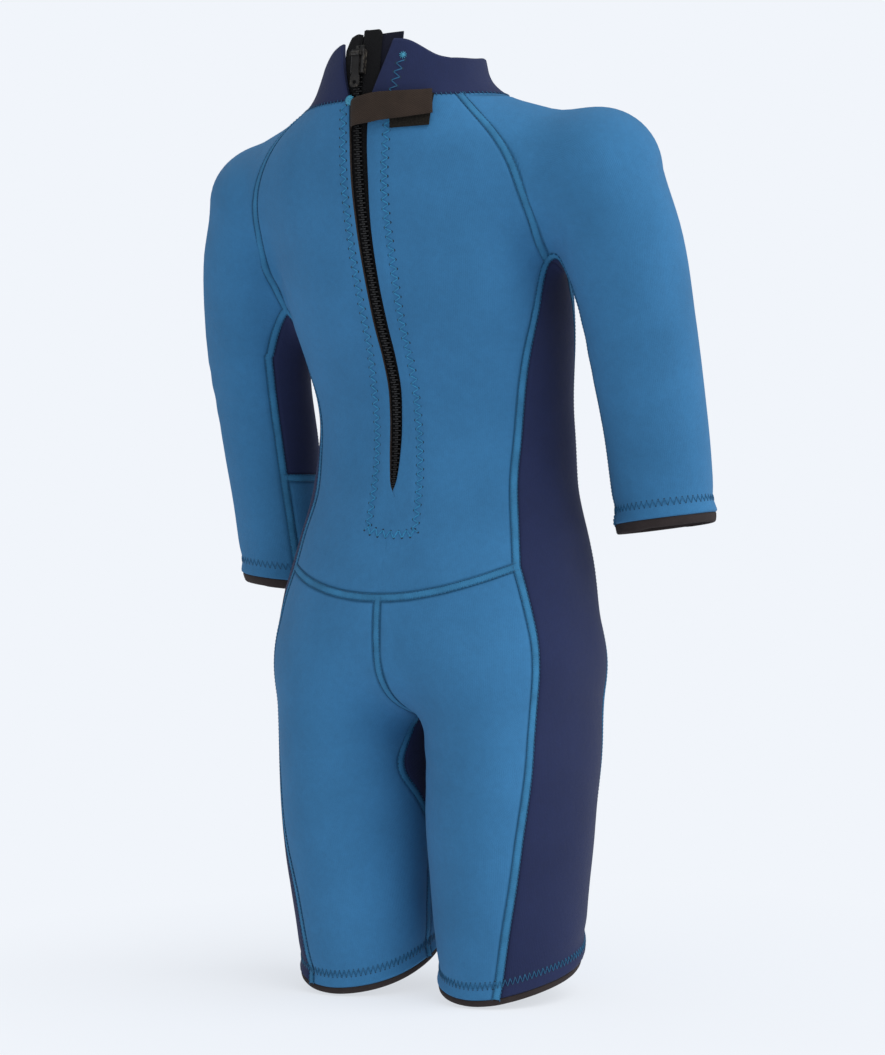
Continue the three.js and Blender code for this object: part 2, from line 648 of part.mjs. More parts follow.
const flapGrid = steps(ZIP_TOP_Z + 1, ZIP_END_Z - 14, 22).map((z) =>
  [-22, -7, 7, 22].map((x) => skinBehind(x, z)));
add("zip_backing_flap", sheetOf(flapGrid, 5.4, 1.5, { gap: 0 }), NAVY());

// ---------------------------------------------------------------- moving and small solids
/** Frame on the zip arc: X across, Y out of the back, Z up along the zip. */
function onZip(z, out = 0) {
  const e = 0.5;
  const up = zipPoint(0, z + e).sub(zipPoint(0, z - e)).normalize();
  const across = new THREE.Vector3(1, 0, 0);
  const away = new THREE.Vector3().crossVectors(up, across).normalize().negate();
  const m = new THREE.Matrix4().makeBasis(across.clone().negate(), away, up);
  return m.setPosition(zipPoint(0, z).addScaledVector(away, out));
}

const wasm = await Module();
wasm.setup();

function solid(geometry) {
  const merged = mergeVertices(geometry.deleteAttribute("normal").deleteAttribute("uv"), 1e-4);
  return new wasm.Manifold(new wasm.Mesh({
    numProp: 3,
    vertProperties: new Float32Array(merged.attributes.position.array),
    triVerts: new Uint32Array(merged.index.array),
  }));
}

function joined(geometries) {
  const all = geometries.map(solid).reduce((a, b) => a.add(b));
  const mesh = all.getMesh();
  const geometry = new THREE.BufferGeometry();
  geometry.setAttribute("position", new THREE.Float32BufferAttribute(mesh.vertProperties, 3));
  geometry.setIndex(new THREE.BufferAttribute(mesh.triVerts, 1));
  return geometry;
}

const box = (x0, x1, y0, y1, z0, z1) => new THREE.BoxGeometry(x1 - x0, y1 - y0, z1 - z0)
  .translate((x0 + x1) / 2, (y0 + y1) / 2, (z0 + z1) / 2);

function extruded(points, length, holes = []) {
  const shape = new THREE.Shape(points.map(([x, y]) => new THREE.Vector2(x, y)));
  shape.holes.push(...holes);
  return new THREE.ExtrudeGeometry(shape, { depth: length, bevelEnabled: false, curveSegments: 5 });
}

const SLIDER_LENGTH = 17;
const PIN_OUT = 3.5; // height of the pull tab's pin over the skin
const PIN_ALONG = 5;

/** Slider shell riding over the chain, with two lugs and the pin of the pull tab. */
function sliderGeometry() {
  const profilePoints = [
    [-5.2, -3], [-4, -3], [-4, -0.4], [4, -0.4], [4, -3], [5.2, -3], [5.2, 0.8], [4.2, 1.6],
    [-4.2, 1.6], [-5.2, 0.8],
  ];
  const shellPart = extruded(profilePoints, SLIDER_LENGTH).translate(0, 0, -SLIDER_LENGTH / 2);
  const lugs = [-1, 1].map((s) => {
    const [a, b] = [s * 3.6, s * 4.6].sort((p, q) => p - q);
    return box(a, b, 1.2, PIN_OUT + 0.9, PIN_ALONG - 1.4, PIN_ALONG + 1.4);
  });
  const pin = new THREE.CylinderGeometry(0.7, 0.7, 8.4, 12).rotateZ(Math.PI / 2)
    .translate(0, PIN_OUT, PIN_ALONG);
  return joined([shellPart, ...lugs, pin]);
}

/** Pull tab: a knuckle round the pin and a slim plate with an eye near its end. */
function tabGeometry() {
  const ring = new THREE.Shape().absarc(0, 0, 1.6, 0, 2 * Math.PI);
  ring.holes.push(new THREE.Path().absarc(0, 0, 1.05, 0, 2 * Math.PI, true));
  const knuckle = new THREE.ExtrudeGeometry(ring, { depth: 6.4, bevelEnabled: false, curveSegments: 12 })
    .translate(0, 0, -3.2).rotateY(Math.PI / 2).translate(0, PIN_OUT, PIN_ALONG);
  const eye = new THREE.Path().absarc(0, -20.5, 1.5, 0, 2 * Math.PI, true);
  const outline = [[-2.6, -1.2], [-2.6, -14], [-3.6, -17], [-3.6, -22], [-2.4, -24], [2.4, -24],
    [3.6, -22], [3.6, -17], [2.6, -14], [2.6, -1.2]];
  const plate = extruded(outline, 1, [eye]).rotateX(Math.PI / 2).translate(0, 3.05, PIN_ALONG);
  return joined([knuckle, plate]);
}

const placed = (geometry, z) => geometry.applyMatrix4(onZip(z));
add("zip_slider", placed(sliderGeometry(), SLIDER_Z), BLACK());
add("pull_tab", placed(tabGeometry(), SLIDER_Z), BLACK());
add("zip_bottom_stop", placed(box(-3.2, 3.2, -3.3, -1, -2.4, 2.4), ZIP_END_Z + 5), BLACK());
for (const side of [1, -1]) {
  const [a, b] = [side * 0.4, side * 3.2].sort((p, q) => p - q);
  const stop = placed(box(a, b, -3.3, -1, -1.4, 1.4), ZIP_TOP_Z - 1.6);
  add("zip_top_stop_" + sideName(side), stop, BLACK());
}

// ---------------------------------------------------------------- neck closure strap
const STRAP_Z = 631;
const STRAP_HALF = 10;
const STRAP_THICKNESS = 1.6;
const STRAP_LIFT = [[-8.8, 1.1], [-6.6, 4.4], [-4.8, 6.2], [4.5, 6.2], [14, 5], [24, 4.4], [54, 4.4]];

function ribbon(name, xs, zs, lift, thickness, look) {
  const grid = zs.map((z) => xs.map((x) => skinBehind(x, z)));
  const depth = (i, j) => -(lift(xs[j]) + thickness);
  add(name, sheetOf(grid, depth, thickness, { gap: 0 }), look);
}
const strapHeights = [STRAP_Z + STRAP_HALF, STRAP_Z, STRAP_Z - STRAP_HALF];
const strapXs = [-8.8, -7.7, -6.6, -4.8, 0, 4.5, 9, 14, 19, 24, 34, 44, 54];
const strapLift = (x) => profile(STRAP_LIFT, x);
ribbon("neck_strap", strapXs, strapHeights, strapLift, STRAP_THICKNESS, WEBBING());
ribbon("strap_root", [-28, -20.5, -13], strapHeights, () => 0.3, STRAP_THICKNESS, WEBBING());
const patchHeights = [STRAP_Z + 8, STRAP_Z, STRAP_Z - 8];
ribbon("loop_patch", [28, 36, 44, 52], [STRAP_Z + 8, STRAP_Z, STRAP_Z - 11], () => 1.2, 1, BLACK());
ribbon("hook_patch", [31, 38, 45, 51], patchHeights, () => 2.6, 1.4, BLACK());

export default group;
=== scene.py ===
"""Looks for a child's back-zip spring wetsuit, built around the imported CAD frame.

Inside this script lengths are millimetres in the row frame; meshes are written in metres.
One body field, the same as the CAD part's, gives the skin; every soft piece lies on it.
"""
import math

import bpy
import numpy as np
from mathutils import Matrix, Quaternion, Vector


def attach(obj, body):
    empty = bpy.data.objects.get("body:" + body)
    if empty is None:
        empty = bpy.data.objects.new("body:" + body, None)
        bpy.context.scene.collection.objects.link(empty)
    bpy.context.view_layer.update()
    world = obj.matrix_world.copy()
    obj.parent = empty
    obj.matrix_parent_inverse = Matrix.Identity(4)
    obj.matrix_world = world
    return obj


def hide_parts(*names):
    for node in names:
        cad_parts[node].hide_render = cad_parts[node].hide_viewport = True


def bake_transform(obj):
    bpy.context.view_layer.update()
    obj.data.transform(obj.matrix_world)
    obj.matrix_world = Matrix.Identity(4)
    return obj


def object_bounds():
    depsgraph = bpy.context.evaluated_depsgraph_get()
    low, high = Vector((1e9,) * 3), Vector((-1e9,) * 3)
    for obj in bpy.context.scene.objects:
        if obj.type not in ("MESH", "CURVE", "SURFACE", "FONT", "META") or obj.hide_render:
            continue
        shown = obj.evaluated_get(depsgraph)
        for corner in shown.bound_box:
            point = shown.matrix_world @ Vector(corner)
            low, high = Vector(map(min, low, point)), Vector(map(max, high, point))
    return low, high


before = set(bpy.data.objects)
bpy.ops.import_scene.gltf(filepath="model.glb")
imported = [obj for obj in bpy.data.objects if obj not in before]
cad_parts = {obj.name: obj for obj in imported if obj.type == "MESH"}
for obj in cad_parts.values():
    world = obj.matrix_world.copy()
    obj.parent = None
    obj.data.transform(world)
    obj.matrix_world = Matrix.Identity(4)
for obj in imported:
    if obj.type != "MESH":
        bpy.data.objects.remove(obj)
cad_box = [list(corner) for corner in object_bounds()]
MM = 0.001
SIDES = (1, -1)
rng = np.random.default_rng(11)


def side_name(side):
    return "right" if side > 0 else "left"


# ------------------------------------------------------------------ camera and studio
AZIMUTH = math.radians(31)
CAMERA_DISTANCE = 2.1
CAMERA_HEIGHT = 0.392
AIM_HEIGHT = 0.3354
CAMERA_ROLL = math.radians(-1.25)
VIEW_HEIGHT = 0.770  # what the picture's long side spans at the object's axis
PALE = (0.880, 0.913, 0.965)
AMBIENT = 0.47
SUN = 2.15
SUN_SPREAD = math.radians(60)
SUN_BEARING = AZIMUTH + math.radians(52)
SUN_SLOPE = 1.05
FLOOR_REACH = 30
FLOOR_GAP = 0.0012
FLOOR_FADE = {"From Min": 0.1, "From Max": 0.5, "To Min": 0.72, "To Max": 1}  # shade near the suit, glow away from it


def make_camera():
    data = bpy.data.cameras.new("camera")
    camera = bpy.data.objects.new("camera", data)
    bpy.context.scene.collection.objects.link(camera)
    back = Vector((math.sin(AZIMUTH), -math.cos(AZIMUTH), 0))
    camera.location = back * CAMERA_DISTANCE + Vector((0, 0, CAMERA_HEIGHT))
    towards = Vector((0, 0, AIM_HEIGHT)) - camera.location
    turn = towards.to_track_quat("-Z", "Y") @ Quaternion((0, 0, 1), CAMERA_ROLL)
    camera.rotation_euler = turn.to_euler()
    data.sensor_width = 36
    data.lens = data.sensor_width * CAMERA_DISTANCE / VIEW_HEIGHT
    bpy.context.scene.camera = camera


def fresh_nodes(owner, *kinds):
    """An owner's emptied node tree, and one new node of each kind."""
    owner.use_nodes = True
    owner.node_tree.nodes.clear()
    return owner.node_tree, *(owner.node_tree.nodes.new("ShaderNode" + kind) for kind in kinds)


def make_world():
    """Pale to the camera, softer as a light."""
    scene = bpy.context.scene
    scene.view_settings.view_transform = "Standard"
    scene.world = bpy.data.worlds.new("studio")
    tree, seen, light, mix, rays, out = fresh_nodes(
        scene.world, "Background", "Background", "MixShader", "LightPath", "OutputWorld")
    seen.inputs["Color"].default_value = (*PALE, 1)
    light.inputs["Color"].default_value = (0.94, 0.97, 1, 1)
    light.inputs["Strength"].default_value = AMBIENT
    for source, target in ((rays.outputs["Is Camera Ray"], mix.inputs[0]), (light.outputs[0], mix.inputs[1]),
                           (seen.outputs[0], mix.inputs[2]), (mix.outputs[0], out.inputs[0])):
        tree.links.new(source, target)


def make_sun():
    sun = bpy.data.lights.new("soft_key", "SUN")
    sun.energy = SUN
    sun.angle = SUN_SPREAD
    key = bpy.data.objects.new("soft_key", sun)
    bpy.context.scene.collection.objects.link(key)
    source = Vector((math.sin(SUN_BEARING), -math.cos(SUN_BEARING), SUN_SLOPE))
    key.rotation_euler = (-source).to_track_quat("-Z", "Y").to_euler()


def make_floor():
    """A wide floor that takes a soft shadow near the suit and fades into the background."""
    mesh = bpy.data.meshes.new("floor")
    corners = [(x * FLOOR_REACH, y * FLOOR_REACH, 0) for x, y in ((-1, -1), (1, -1), (1, 1), (-1, 1))]
    mesh.from_pydata(corners, [], [(0, 1, 2, 3)])
    floor = bpy.data.objects.new("floor", mesh)
    floor.location.z = cad_box[0][2] - FLOOR_GAP
    bpy.context.scene.collection.objects.link(floor)
    material = bpy.data.materials.new("pale_floor")
    tree, place, away, fade, paint, glow, mix, out = fresh_nodes(
        material, "TexCoord", "VectorMath", "MapRange", "BsdfDiffuse", "Emission", "MixShader", "OutputMaterial")
    away.operation = "LENGTH"
    for key, value in FLOOR_FADE.items():
        fade.inputs[key].default_value = value
    paint.inputs["Color"].default_value = (*PALE, 1)
    glow.inputs["Color"].default_value = (*PALE, 1)
    for source, target in ((place.outputs["Object"], away.inputs[0]), (away.outputs["Value"], fade.inputs["Value"]),
                           (fade.outputs[0], mix.inputs[0]), (paint.outputs[0], mix.inputs[1]),
                           (glow.outputs[0], mix.inputs[2]), (mix.outputs[0], out.inputs[0])):
        tree.links.new(source, target)
    mesh.materials.append(material)


make_camera()
make_world()
make_sun()
make_floor()

# ------------------------------------------------------------------ driving dimensions (as in the CAD part)
NEOPRENE = 3.0
ARC_RADIUS = 340
ARC_Z = 610
ARC_BACK_Y = -105
ARC_END_Z = 462
ZIP_TOP_Z = 676
ZIP_END_Z = 358
WAIST_BACK_Z = 289
WAIST_FRONT_Z = 292
LEG_HEM_TILT = 0.32
LEG_HEM_Z = 23.3
LEG_BAND = 5
SLEEVE_HEM_TILT = 0.12
SLEEVE_HEM_Z = {1: 340, -1: 298}
SLEEVE_BAND = 7
RING_Z = {1: 500, -1: 462}
SLEEVE_TOP = {1: (149, -27, 582), -1: (130.6, -27, 573)}
BACK_SEAM_ANGLE = {1: 30, -1: 45}
ARMPIT_DROP = 22
ARMPIT_ROW = 7
HALF_COLUMNS = 6
CROTCH_ROW = 5
GUSSET_ROW = 9
TORSO_POWER = 2.35


def arc_y(z):
    return ARC_BACK_Y + ARC_RADIUS - np.sqrt(ARC_RADIUS**2 - (z - ARC_Z) ** 2)


HALF_WIDTH = np.array([
    (120, 112), (187, 121), (237, 124), (286, 119), (330, 109), (370, 101), (410, 98), (450, 101), (500, 107),
    (545, 108), (580, 100), (605, 86), (625, 72), (645, 62), (665, 56), (680, 53), (720, 52)], float)
BACK_LINE = np.array([
    (120, -70), (165, -80), (200, -89), (237, -95), (286, -91), (330, -75), (365, -62), (400, -56.5),
    (430, -60), (ARC_END_Z, arc_y(ARC_END_Z))], float)
FRONT_LINE = np.array([
    (120, 50), (187, 66), (237, 74), (286, 76), (330, 74), (380, 72), (430, 72), (480, 70), (520, 63),
    (560, 48), (590, 32), (620, 16), (650, 8), (680, 5), (720, 4)], float)
NECK_SHIFT = np.array([(600, 0), (640, 4), (670, 7), (720, 7)], float)
ARMS = {  # height, x, y, radius across, radius front to back
    1: np.array([(333, 165, 36, 36, 36), (410, 167, 14, 37, 38), (480, 167, -6, 39.5, 41),
                 (540, 160, -20, 43.5, 43), (583, 149, -27, 44, 45)], float),
    -1: np.array([(291, 162, 42, 34.5, 36), (400, 161, 16, 35.5, 37), (470, 156, -4, 38, 40),
                  (536, 141, -20, 42.5, 43), (574, 130.6, -27, 41.5, 42.5)], float),
}
LEG = np.array([
    (-30, 58, -18, 47, 52), (0, 58.5, -18, 48.5, 54), (70, 60.5, -17, 53.5, 62), (130, 62, -15, 57.5, 71),
    (190, 62, -10, 58, 80), (240, 60, -6, 60, 87), (290, 58, -5, 56, 86)], float)
SHOULDER_BAR = {1: ((62, -42, 597, 45), (142, -27, 577, 42.5)), -1: ((61, -42, 593, 45.5), (121, -27, 580, 42))}

RAGLAN_BACK = [(66, -74, 638), (86, -78, 620), (101, -80, 602), (110, -79, 584), (114, -72, 564),
               (114, -60, 548), (111, -46, 534), (110, -32, 522)]
RAGLAN_FRONT = [(60, -8, 640), (82, 4, 622), (98, 13, 603), (107, 17, 584), (112, 15, 564),
                (112, 9, 548), (110, 2, 534), (109, -5, 522)]
NECK_SIDE = [(66, -74, 638), (80, -59, 643), (85, -41, 645), (78, -24, 643), (60, -8, 640)]
SIDE_BACK = [
    (110, -32, 522), (104, -34, 500), (97, -35, 470), (89, -33, 440), (84, -32, 405), (83, -36, 382),
    (84, -41, 362), (89, -49, 336), (94, -57, 310), (102, -59, 286), (106, -58, 262), (107, -59, 238),
    (107, -61, 212), (106, -63, 190), (105, -65, 168), (102, -67, 145), (97, -68, 118), (91, -68, 86),
    (85, -68, 54), (80, -68, 26), (76, -67, 7.6)]
SIDE_FRONT = [
    (109, -5, 522), (102, 13, 500), (94, 26, 470), (87, 32, 440), (83, 36, 405), (84, 37, 382),
    (87, 38, 362), (94, 38, 336), (100, 37, 310), (105, 36, 286), (108, 34, 262), (109, 32, 238),
    (109, 30, 212), (109, 29, 190), (108, 28, 168), (106, 28, 145), (102, 28, 118), (98, 27, 93.5),
    (94, 26, 69), (90, 26, 48), (86, 26, 37.4)]
BACK_ROWS = [637, 622, 607, 592, 576, 560, 545, 530, 500, 470, 440, 408, 382, ZIP_END_Z, 325, WAIST_BACK_Z]
FRONT_ROWS = [636, 618, 601, 584, 568, 552, 538, 525, 500, 470, 440, 408, 382, 358, 325, WAIST_FRONT_Z]
LEG_ROWS = [0, 268, 247, 226, 206, 187, 168, 145, 118, 90, 62, 38, LEG_HEM_Z]
CROTCH = {1: (0, -50, 187), -1: (0, 34, 190)}
GUSSET_ANGLES = [0, 34, 20, 0.6]
LOWER_SLEEVE_STEPS = [0.18, 0.36, 0.53, 0.76, 1]
UPPER_SLEEVE_ROWS = 6
COLLAR_RISE = np.array([(-0.2, 42), (0.45, 40), (1.1, 26), (2.2, 30), (3.3, 34)], float)
FLAP_OPENING = {1: 19, -1: 16}

# The zip opening as it hangs: height, centre, half width.
SLIT = np.array([
    (340, -4, 0), (362, -4, 0), (370, -4.1, 2.6), (393, -4, 4.7), (414, -2.6, 5.1), (443, 0.2, 5.4),
    (482, 0.4, 5.7), (509, 0.5, 5.6), (549, 0.4, 6.1), (582, 0.7, 7.1), (610, 1.2, 7.2), (640, 2.4, 8.4)], float)
CHAIN_SWAY = np.array([(350, -4), (393, -3.8), (414, -2.4), (443, 0), (720, 0)], float)


# ------------------------------------------------------------------ the body field
def hermite(start, end, start_slope, end_slope, t):
    t2, t3 = t * t, t * t * t
    return ((2 * t3 - 3 * t2 + 1) * start + (t3 - 2 * t2 + t) * start_slope
            + (3 * t2 - 2 * t3) * end + (t3 - t2) * end_slope)


def smooth_step(value, low, high):
    t = np.clip((value - low) / (high - low), 0, 1)
    return t * t * (3 - 2 * t)


def profile(rows, z, column=1):
    """Smooth curve through rows (height, value, ...), read at heights z."""
    heights, values = rows[:, 0], rows[:, column]
    at = np.clip(z, heights[0], heights[-1])
    i = np.clip(np.searchsorted(heights, at, side="left") - 1, 0, len(heights) - 2)
    before = np.maximum(np.arange(len(heights)) - 1, 0)
    after = np.minimum(np.arange(len(heights)) + 1, len(heights) - 1)
    slope = (values[after] - values[before]) / (heights[after] - heights[before])
    h = heights[i + 1] - heights[i]
    return hermite(values[i], values[i + 1], h * slope[i], h * slope[i + 1], (at - heights[i]) / h)


def soft_min(a, b, k):
    h = np.maximum(k - np.abs(a - b), 0) / k
    return np.minimum(a, b) - h * h * k * 0.25


def soft_max(a, b, k):
    return -soft_min(-a, -b, k)


def back_line(z):
    high = np.maximum(z, ARC_END_Z)
    return np.where(z >= ARC_END_Z, arc_y(high), profile(BACK_LINE, z))


def torso_field(x, y, z):
    a, back, front = profile(HALF_WIDTH, z), back_line(z), profile(FRONT_LINE, z)
    b = (front - back) / 2
    u = np.abs((x - profile(NECK_SHIFT, z)) / a) ** TORSO_POWER
    v = np.abs((y - (front + back) / 2) / b) ** TORSO_POWER
    f = ((u + v) ** (1 / TORSO_POWER) - 1) * np.minimum(a, b)
    return soft_max(f, 205 - z, 60)


def tube_field(rows, side, x, y, z):
    rx, ry = profile(rows, z, 3), profile(rows, z, 4)
    dx = (x - side * profile(rows, z, 1)) / rx
    dy = (y - profile(rows, z, 2)) / ry
    return (np.hypot(dx, dy) - 1) * np.minimum(rx, ry)


def arm_field(side, x, y, z):
    height, cx, cy, radius = ARMS[side][-1][:4]
    cap = np.sqrt((x - side * cx) ** 2 + (y - cy) ** 2 + (z - height) ** 2) - radius
    tube = np.where(z > height, cap, tube_field(ARMS[side], side, x, y, z))
    return np.maximum(tube, SLEEVE_HEM_Z[side] - 16 - z)


def bar_field(side, x, y, z):
    a, b = SHOULDER_BAR[side]
    start = np.array([side * a[0], a[1], a[2]])
    along = np.array([side * b[0], b[1], b[2]]) - start
    p = np.stack([x, y, z], -1) - start
    t = np.clip(p @ along / (along @ along), 0, 1)
    return np.linalg.norm(p - t[..., None] * along, axis=-1) - (a[3] + (b[3] - a[3]) * t)


def field(p):
    """Zero on the outer skin, negative inside the wearer."""
    x, y, z = p[..., 0], p[..., 1], p[..., 2]
    f = torso_field(x, y, z)
    for side in SIDES:
        limb = soft_min(bar_field(side, x, y, z), arm_field(side, x, y, z), 12)
        f = soft_min(f, limb, 24)
    thighs = soft_min(tube_field(LEG, 1, x, y, z), tube_field(LEG, -1, x, y, z), 4)
    return soft_min(f, soft_max(thighs, z - 268, 50), 16)


def gradient(p):
    steps = np.eye(3) * 0.25
    return np.stack([(field(p + e) - field(p - e)) / 0.5 for e in steps], -1)


def settle(p, rounds=6):
    """Moves points onto the skin along the field's own slope."""
    q = np.array(p, float)
    for _ in range(rounds):
        g = gradient(q)
        q -= (field(q) / np.maximum((g * g).sum(-1), 1e-3))[..., None] * g
    return q


def unit(v):
    return v / np.maximum(np.linalg.norm(v, axis=-1, keepdims=True), 1e-9)


def crossing(origin, direction, start, end, steps=80):
    """First skin crossing on straight paths, from one distance to another."""
    origin, direction = np.broadcast_arrays(np.asarray(origin, float), np.asarray(direction, float))
    shape = origin.shape[:-1]
    low, high, found = np.full(shape, float(start)), np.full(shape, float(end)), np.zeros(shape, bool)

    def sign(t):
        return np.sign(field(origin + direction * t[..., None]))

    first = sign(low)
    for k in range(1, steps + 1):
        t = start + (end - start) * k / steps
        here = (sign(np.full(shape, t)) != first) & ~found
        high[here] = t
        found |= here
        low[~found] = t
    for _ in range(26):
        middle = (low + high) / 2
        same = sign(middle) == first
        low, high = np.where(same, middle, low), np.where(same, high, middle)
    return origin + direction * ((low + high) / 2)[..., None]


def points_at(x, y, z):
    return np.stack(np.broadcast_arrays(np.asarray(x, float), y, z), -1)


def skin_behind(x, z):
    return crossing(points_at(x, -220, z), (0, 1, 0), 0, 220)


def skin_in_front(x, z):
    return crossing(points_at(x, 220, z), (0, -1, 0), 0, 250)


# ------------------------------------------------------------------ folds and seam relief of the cloth
TURN = 6.283
UNDULATIONS = [(rng.normal(size=3), rng.uniform(0, 6.28), rng.uniform(46, 120)) for _ in range(9)]
# Soft creases: centre, direction they run in, direction across, spacing, reach along, reach across, height.
CREASES = [
    ((38, -103, 590), (0.04, 0, 1), (1, 0, 0), 7, 42, 30, 0.16),
    ((38, -64, 440), (0.75, 0, -0.5), (0.5, 0, 0.75), 17, 30, 36, 0.55),
    ((2, -74, 312), (0.9, 0, 0.25), (-0.25, 0, 0.9), 13, 34, 22, 0.45),
    ((46, -82, 318), (1, 0, -0.2), (0.2, 0, 1), 16, 32, 24, 0.4),
    ((6, -94, 250), (0.4, 0, 1), (1, 0, -0.4), 15, 30, 18, 0.4),
    ((96, -56, 532), (0.6, 0, 0.8), (0.8, 0, -0.6), 12, 26, 18, 0.5),
    ((-96, -56, 508), (-0.6, 0, 0.8), (0.8, 0, 0.6), 12, 26, 18, 0.5),
    ((168, -44, 468), (1, 0, 0.25), (-0.25, 0, 1), 22, 40, 30, 0.45),
    ((-164, -36, 440), (1, 0, -0.3), (0.3, 0, 1), 20, 40, 32, 0.5),
    ((40, -80, 172), (1, 0, -0.5), (0.5, 0, 1), 20, 36, 26, 0.45),
    ((-40, -80, 172), (1, 0, 0.5), (-0.5, 0, 1), 20, 36, 26, 0.45),
    ((0, 74, 330), (1, 0, 0), (0, 0, 1), 24, 70, 40, 0.6),
    ((0, 70, 210), (0.2, 0, 1), (1, 0, -0.2), 20, 30, 30, 0.5),
]

# Zigzag rows round the zip, as (x, height) down each side and along the foot.
ZIP_LEFT = [(-11, 634), (-11.5, 600), (-12, 576), (-11.5, 541), (-12.5, 478), (-17, 438), (-19.5, 387), (-18.5, 336)]
COLLAR_ROW = [(33, 663), (31, 654), (29, 645), (27, 636)]
ZIP_RIGHT = [(25.5, 627), (23, 605), (20, 567), (20, 525), (18, 484), (17, 442), (16.5, 399),
             (21, 334)]
ZIP_FOOT = [(-18.5, 336), (0, 333), (21, 334)]


def sleeve_hem_height(side, p):
    x = p[..., 0] - side * profile(ARMS[side], p[..., 2], 1)
    return p[..., 2] - (SLEEVE_HEM_Z[side] + SLEEVE_HEM_TILT * side * x)


def leg_hem_height(p):
    return p[..., 2] - (LEG_HEM_Z + LEG_HEM_TILT * (p[..., 1] + 18))


def flare(h):
    """The stitched hem draws the cloth in, and its folded edge stands out."""
    return 1.5 * np.exp(-((h - 0.5) / 5.5) ** 2) - 0.8 * np.exp(-((h - 12) / 6) ** 2)


def creased(p):
    """Soft folds, each a run of waves that dies away from its centre."""
    out = 0.0
    for centre, run, over, spacing, reach, width, height in CREASES:
        d = p - np.array(centre)
        along, across = d @ unit(np.array(run, float)), d @ unit(np.array(over, float))
        facing = np.exp(-(d[..., 1] / 40) ** 2)
        bend = across + 0.10 * along * np.sin(along / reach * 2.1)
        out = out + height * facing * np.cos(TURN * bend / spacing) * np.exp(
            -(along / reach) ** 2 - (across / width) ** 2)
    return out


def sewn_channel(p, row, inner):
    """The cloth dips under a zigzag row and swells between it and the zip."""
    line = np.array(sorted((z, x) for x, z in row))
    sewn_x = np.interp(p[..., 2], line[:, 0], line[:, 1])
    return (0.45 * np.exp(-((p[..., 0] - (sewn_x + inner) / 2) / 4) ** 2)
            - 0.4 * np.exp(-((p[..., 0] - sewn_x) / 3.2) ** 2))


def relief(p):
    """How far the cloth stands off the even skin, in millimetres."""
    out = sum(0.2 * np.sin(p @ unit(k) * TURN / span + shift) for k, shift, span in UNDULATIONS) + creased(p)
    near_zip = (p[..., 1] < 0) & (p[..., 2] > 340)
    out = out * np.where(near_zip, np.clip((np.abs(p[..., 0]) - 9) / 16, 0, 1), 1.0)
    beside = near_zip * smooth_step(p[..., 2], 330, 350) * (1 - smooth_step(p[..., 2], 626, 640))
    for row, inner in ((ZIP_LEFT, -7.0), (ZIP_RIGHT, 7.0)):
        out += beside * sewn_channel(p, row, inner)
    for side in SIDES:
        arm = np.clip((side * p[..., 0] - 108) / 10, 0, 1) * (p[..., 2] < RING_Z[side])
        out += arm * flare(sleeve_hem_height(side, p))
    out += (p[..., 2] < 120) * flare(leg_hem_height(p))
    return out


def on_skin(points, rounds=4):
    """Settled points with the cloth's relief, and their outward normals."""
    p = settle(points, rounds)
    n = unit(gradient(p))
    return p + n * relief(p)[..., None], n


# ------------------------------------------------------------------ grids between the seams
def seam_line(rows, side):
    """Seam points on one side; on the left the armpit region hangs lower."""
    p = np.array(rows, float)
    share = smooth_step(p[:, 2], 400, 480) * (1 - smooth_step(p[:, 2], 540, 638))
    p[:, 2] -= (ARMPIT_DROP if side < 0 else 0) * share
    p[:, 0] *= side
    return settle(p, 10)


seams = {}
for side in SIDES:
    s = {"raglan_back": seam_line(RAGLAN_BACK, side), "raglan_front": seam_line(RAGLAN_FRONT, side),
         "neck_side": seam_line(NECK_SIDE, side), "side_back": seam_line(SIDE_BACK, side),
         "side_front": seam_line(SIDE_FRONT, side)}
    s["back_edge"] = np.concatenate([s["raglan_back"][:ARMPIT_ROW], s["side_back"]])
    s["front_edge"] = np.concatenate([s["raglan_front"][:ARMPIT_ROW], s["side_front"]])
    seams[side] = s


def slit_edge(side, z):
    return profile(SLIT, z) + side * profile(SLIT, z, 2)


def torso_half(side, heights, edge, skin, first):
    """Half of a torso panel, from the centre line or zip edge out to its seams."""
    rows = []
    for i, z in enumerate(heights):
        end = seams[side][edge][i]
        t = np.arange(HALF_COLUMNS) / HALF_COLUMNS
        x = first(z) + (end[0] - first(z)) * t
        rows.append(np.concatenate([skin(x, z + (end[2] - z) * t * t), end[None]]))
    return np.array(rows)


def back_first(side):
    return lambda z: float(slit_edge(side, z)) if z > ZIP_END_Z + 4 else 0.0


back_half = {s: torso_half(s, BACK_ROWS, "back_edge", skin_behind, back_first(s)) for s in SIDES}
chest_half = {s: torso_half(s, FRONT_ROWS, "front_edge", skin_in_front, lambda z: 0.0) for s in SIDES}


def leg_point(side, row, angle):
    """Skin round a leg; the angle runs from the inner thigh, positive towards the back."""
    base = LEG_ROWS[row]
    tilt = LEG_HEM_TILT * min(max((row - 8) / 4, 0), 1)
    cx, cy = side * profile(LEG, base, 1), profile(LEG, base, 2)
    angle = np.asarray(angle, float)
    direction = np.stack([-side * np.cos(angle), -np.sin(angle), -tilt * np.sin(angle)], -1)
    return crossing((cx, cy, base + tilt * (cy + 18)), direction, 5, 140)


def leg_angle(side, row, p):
    cx, cy = side * profile(LEG, LEG_ROWS[row], 1), profile(LEG, LEG_ROWS[row], 2)
    return math.atan2(cy - p[1], -side * (p[0] - cx))


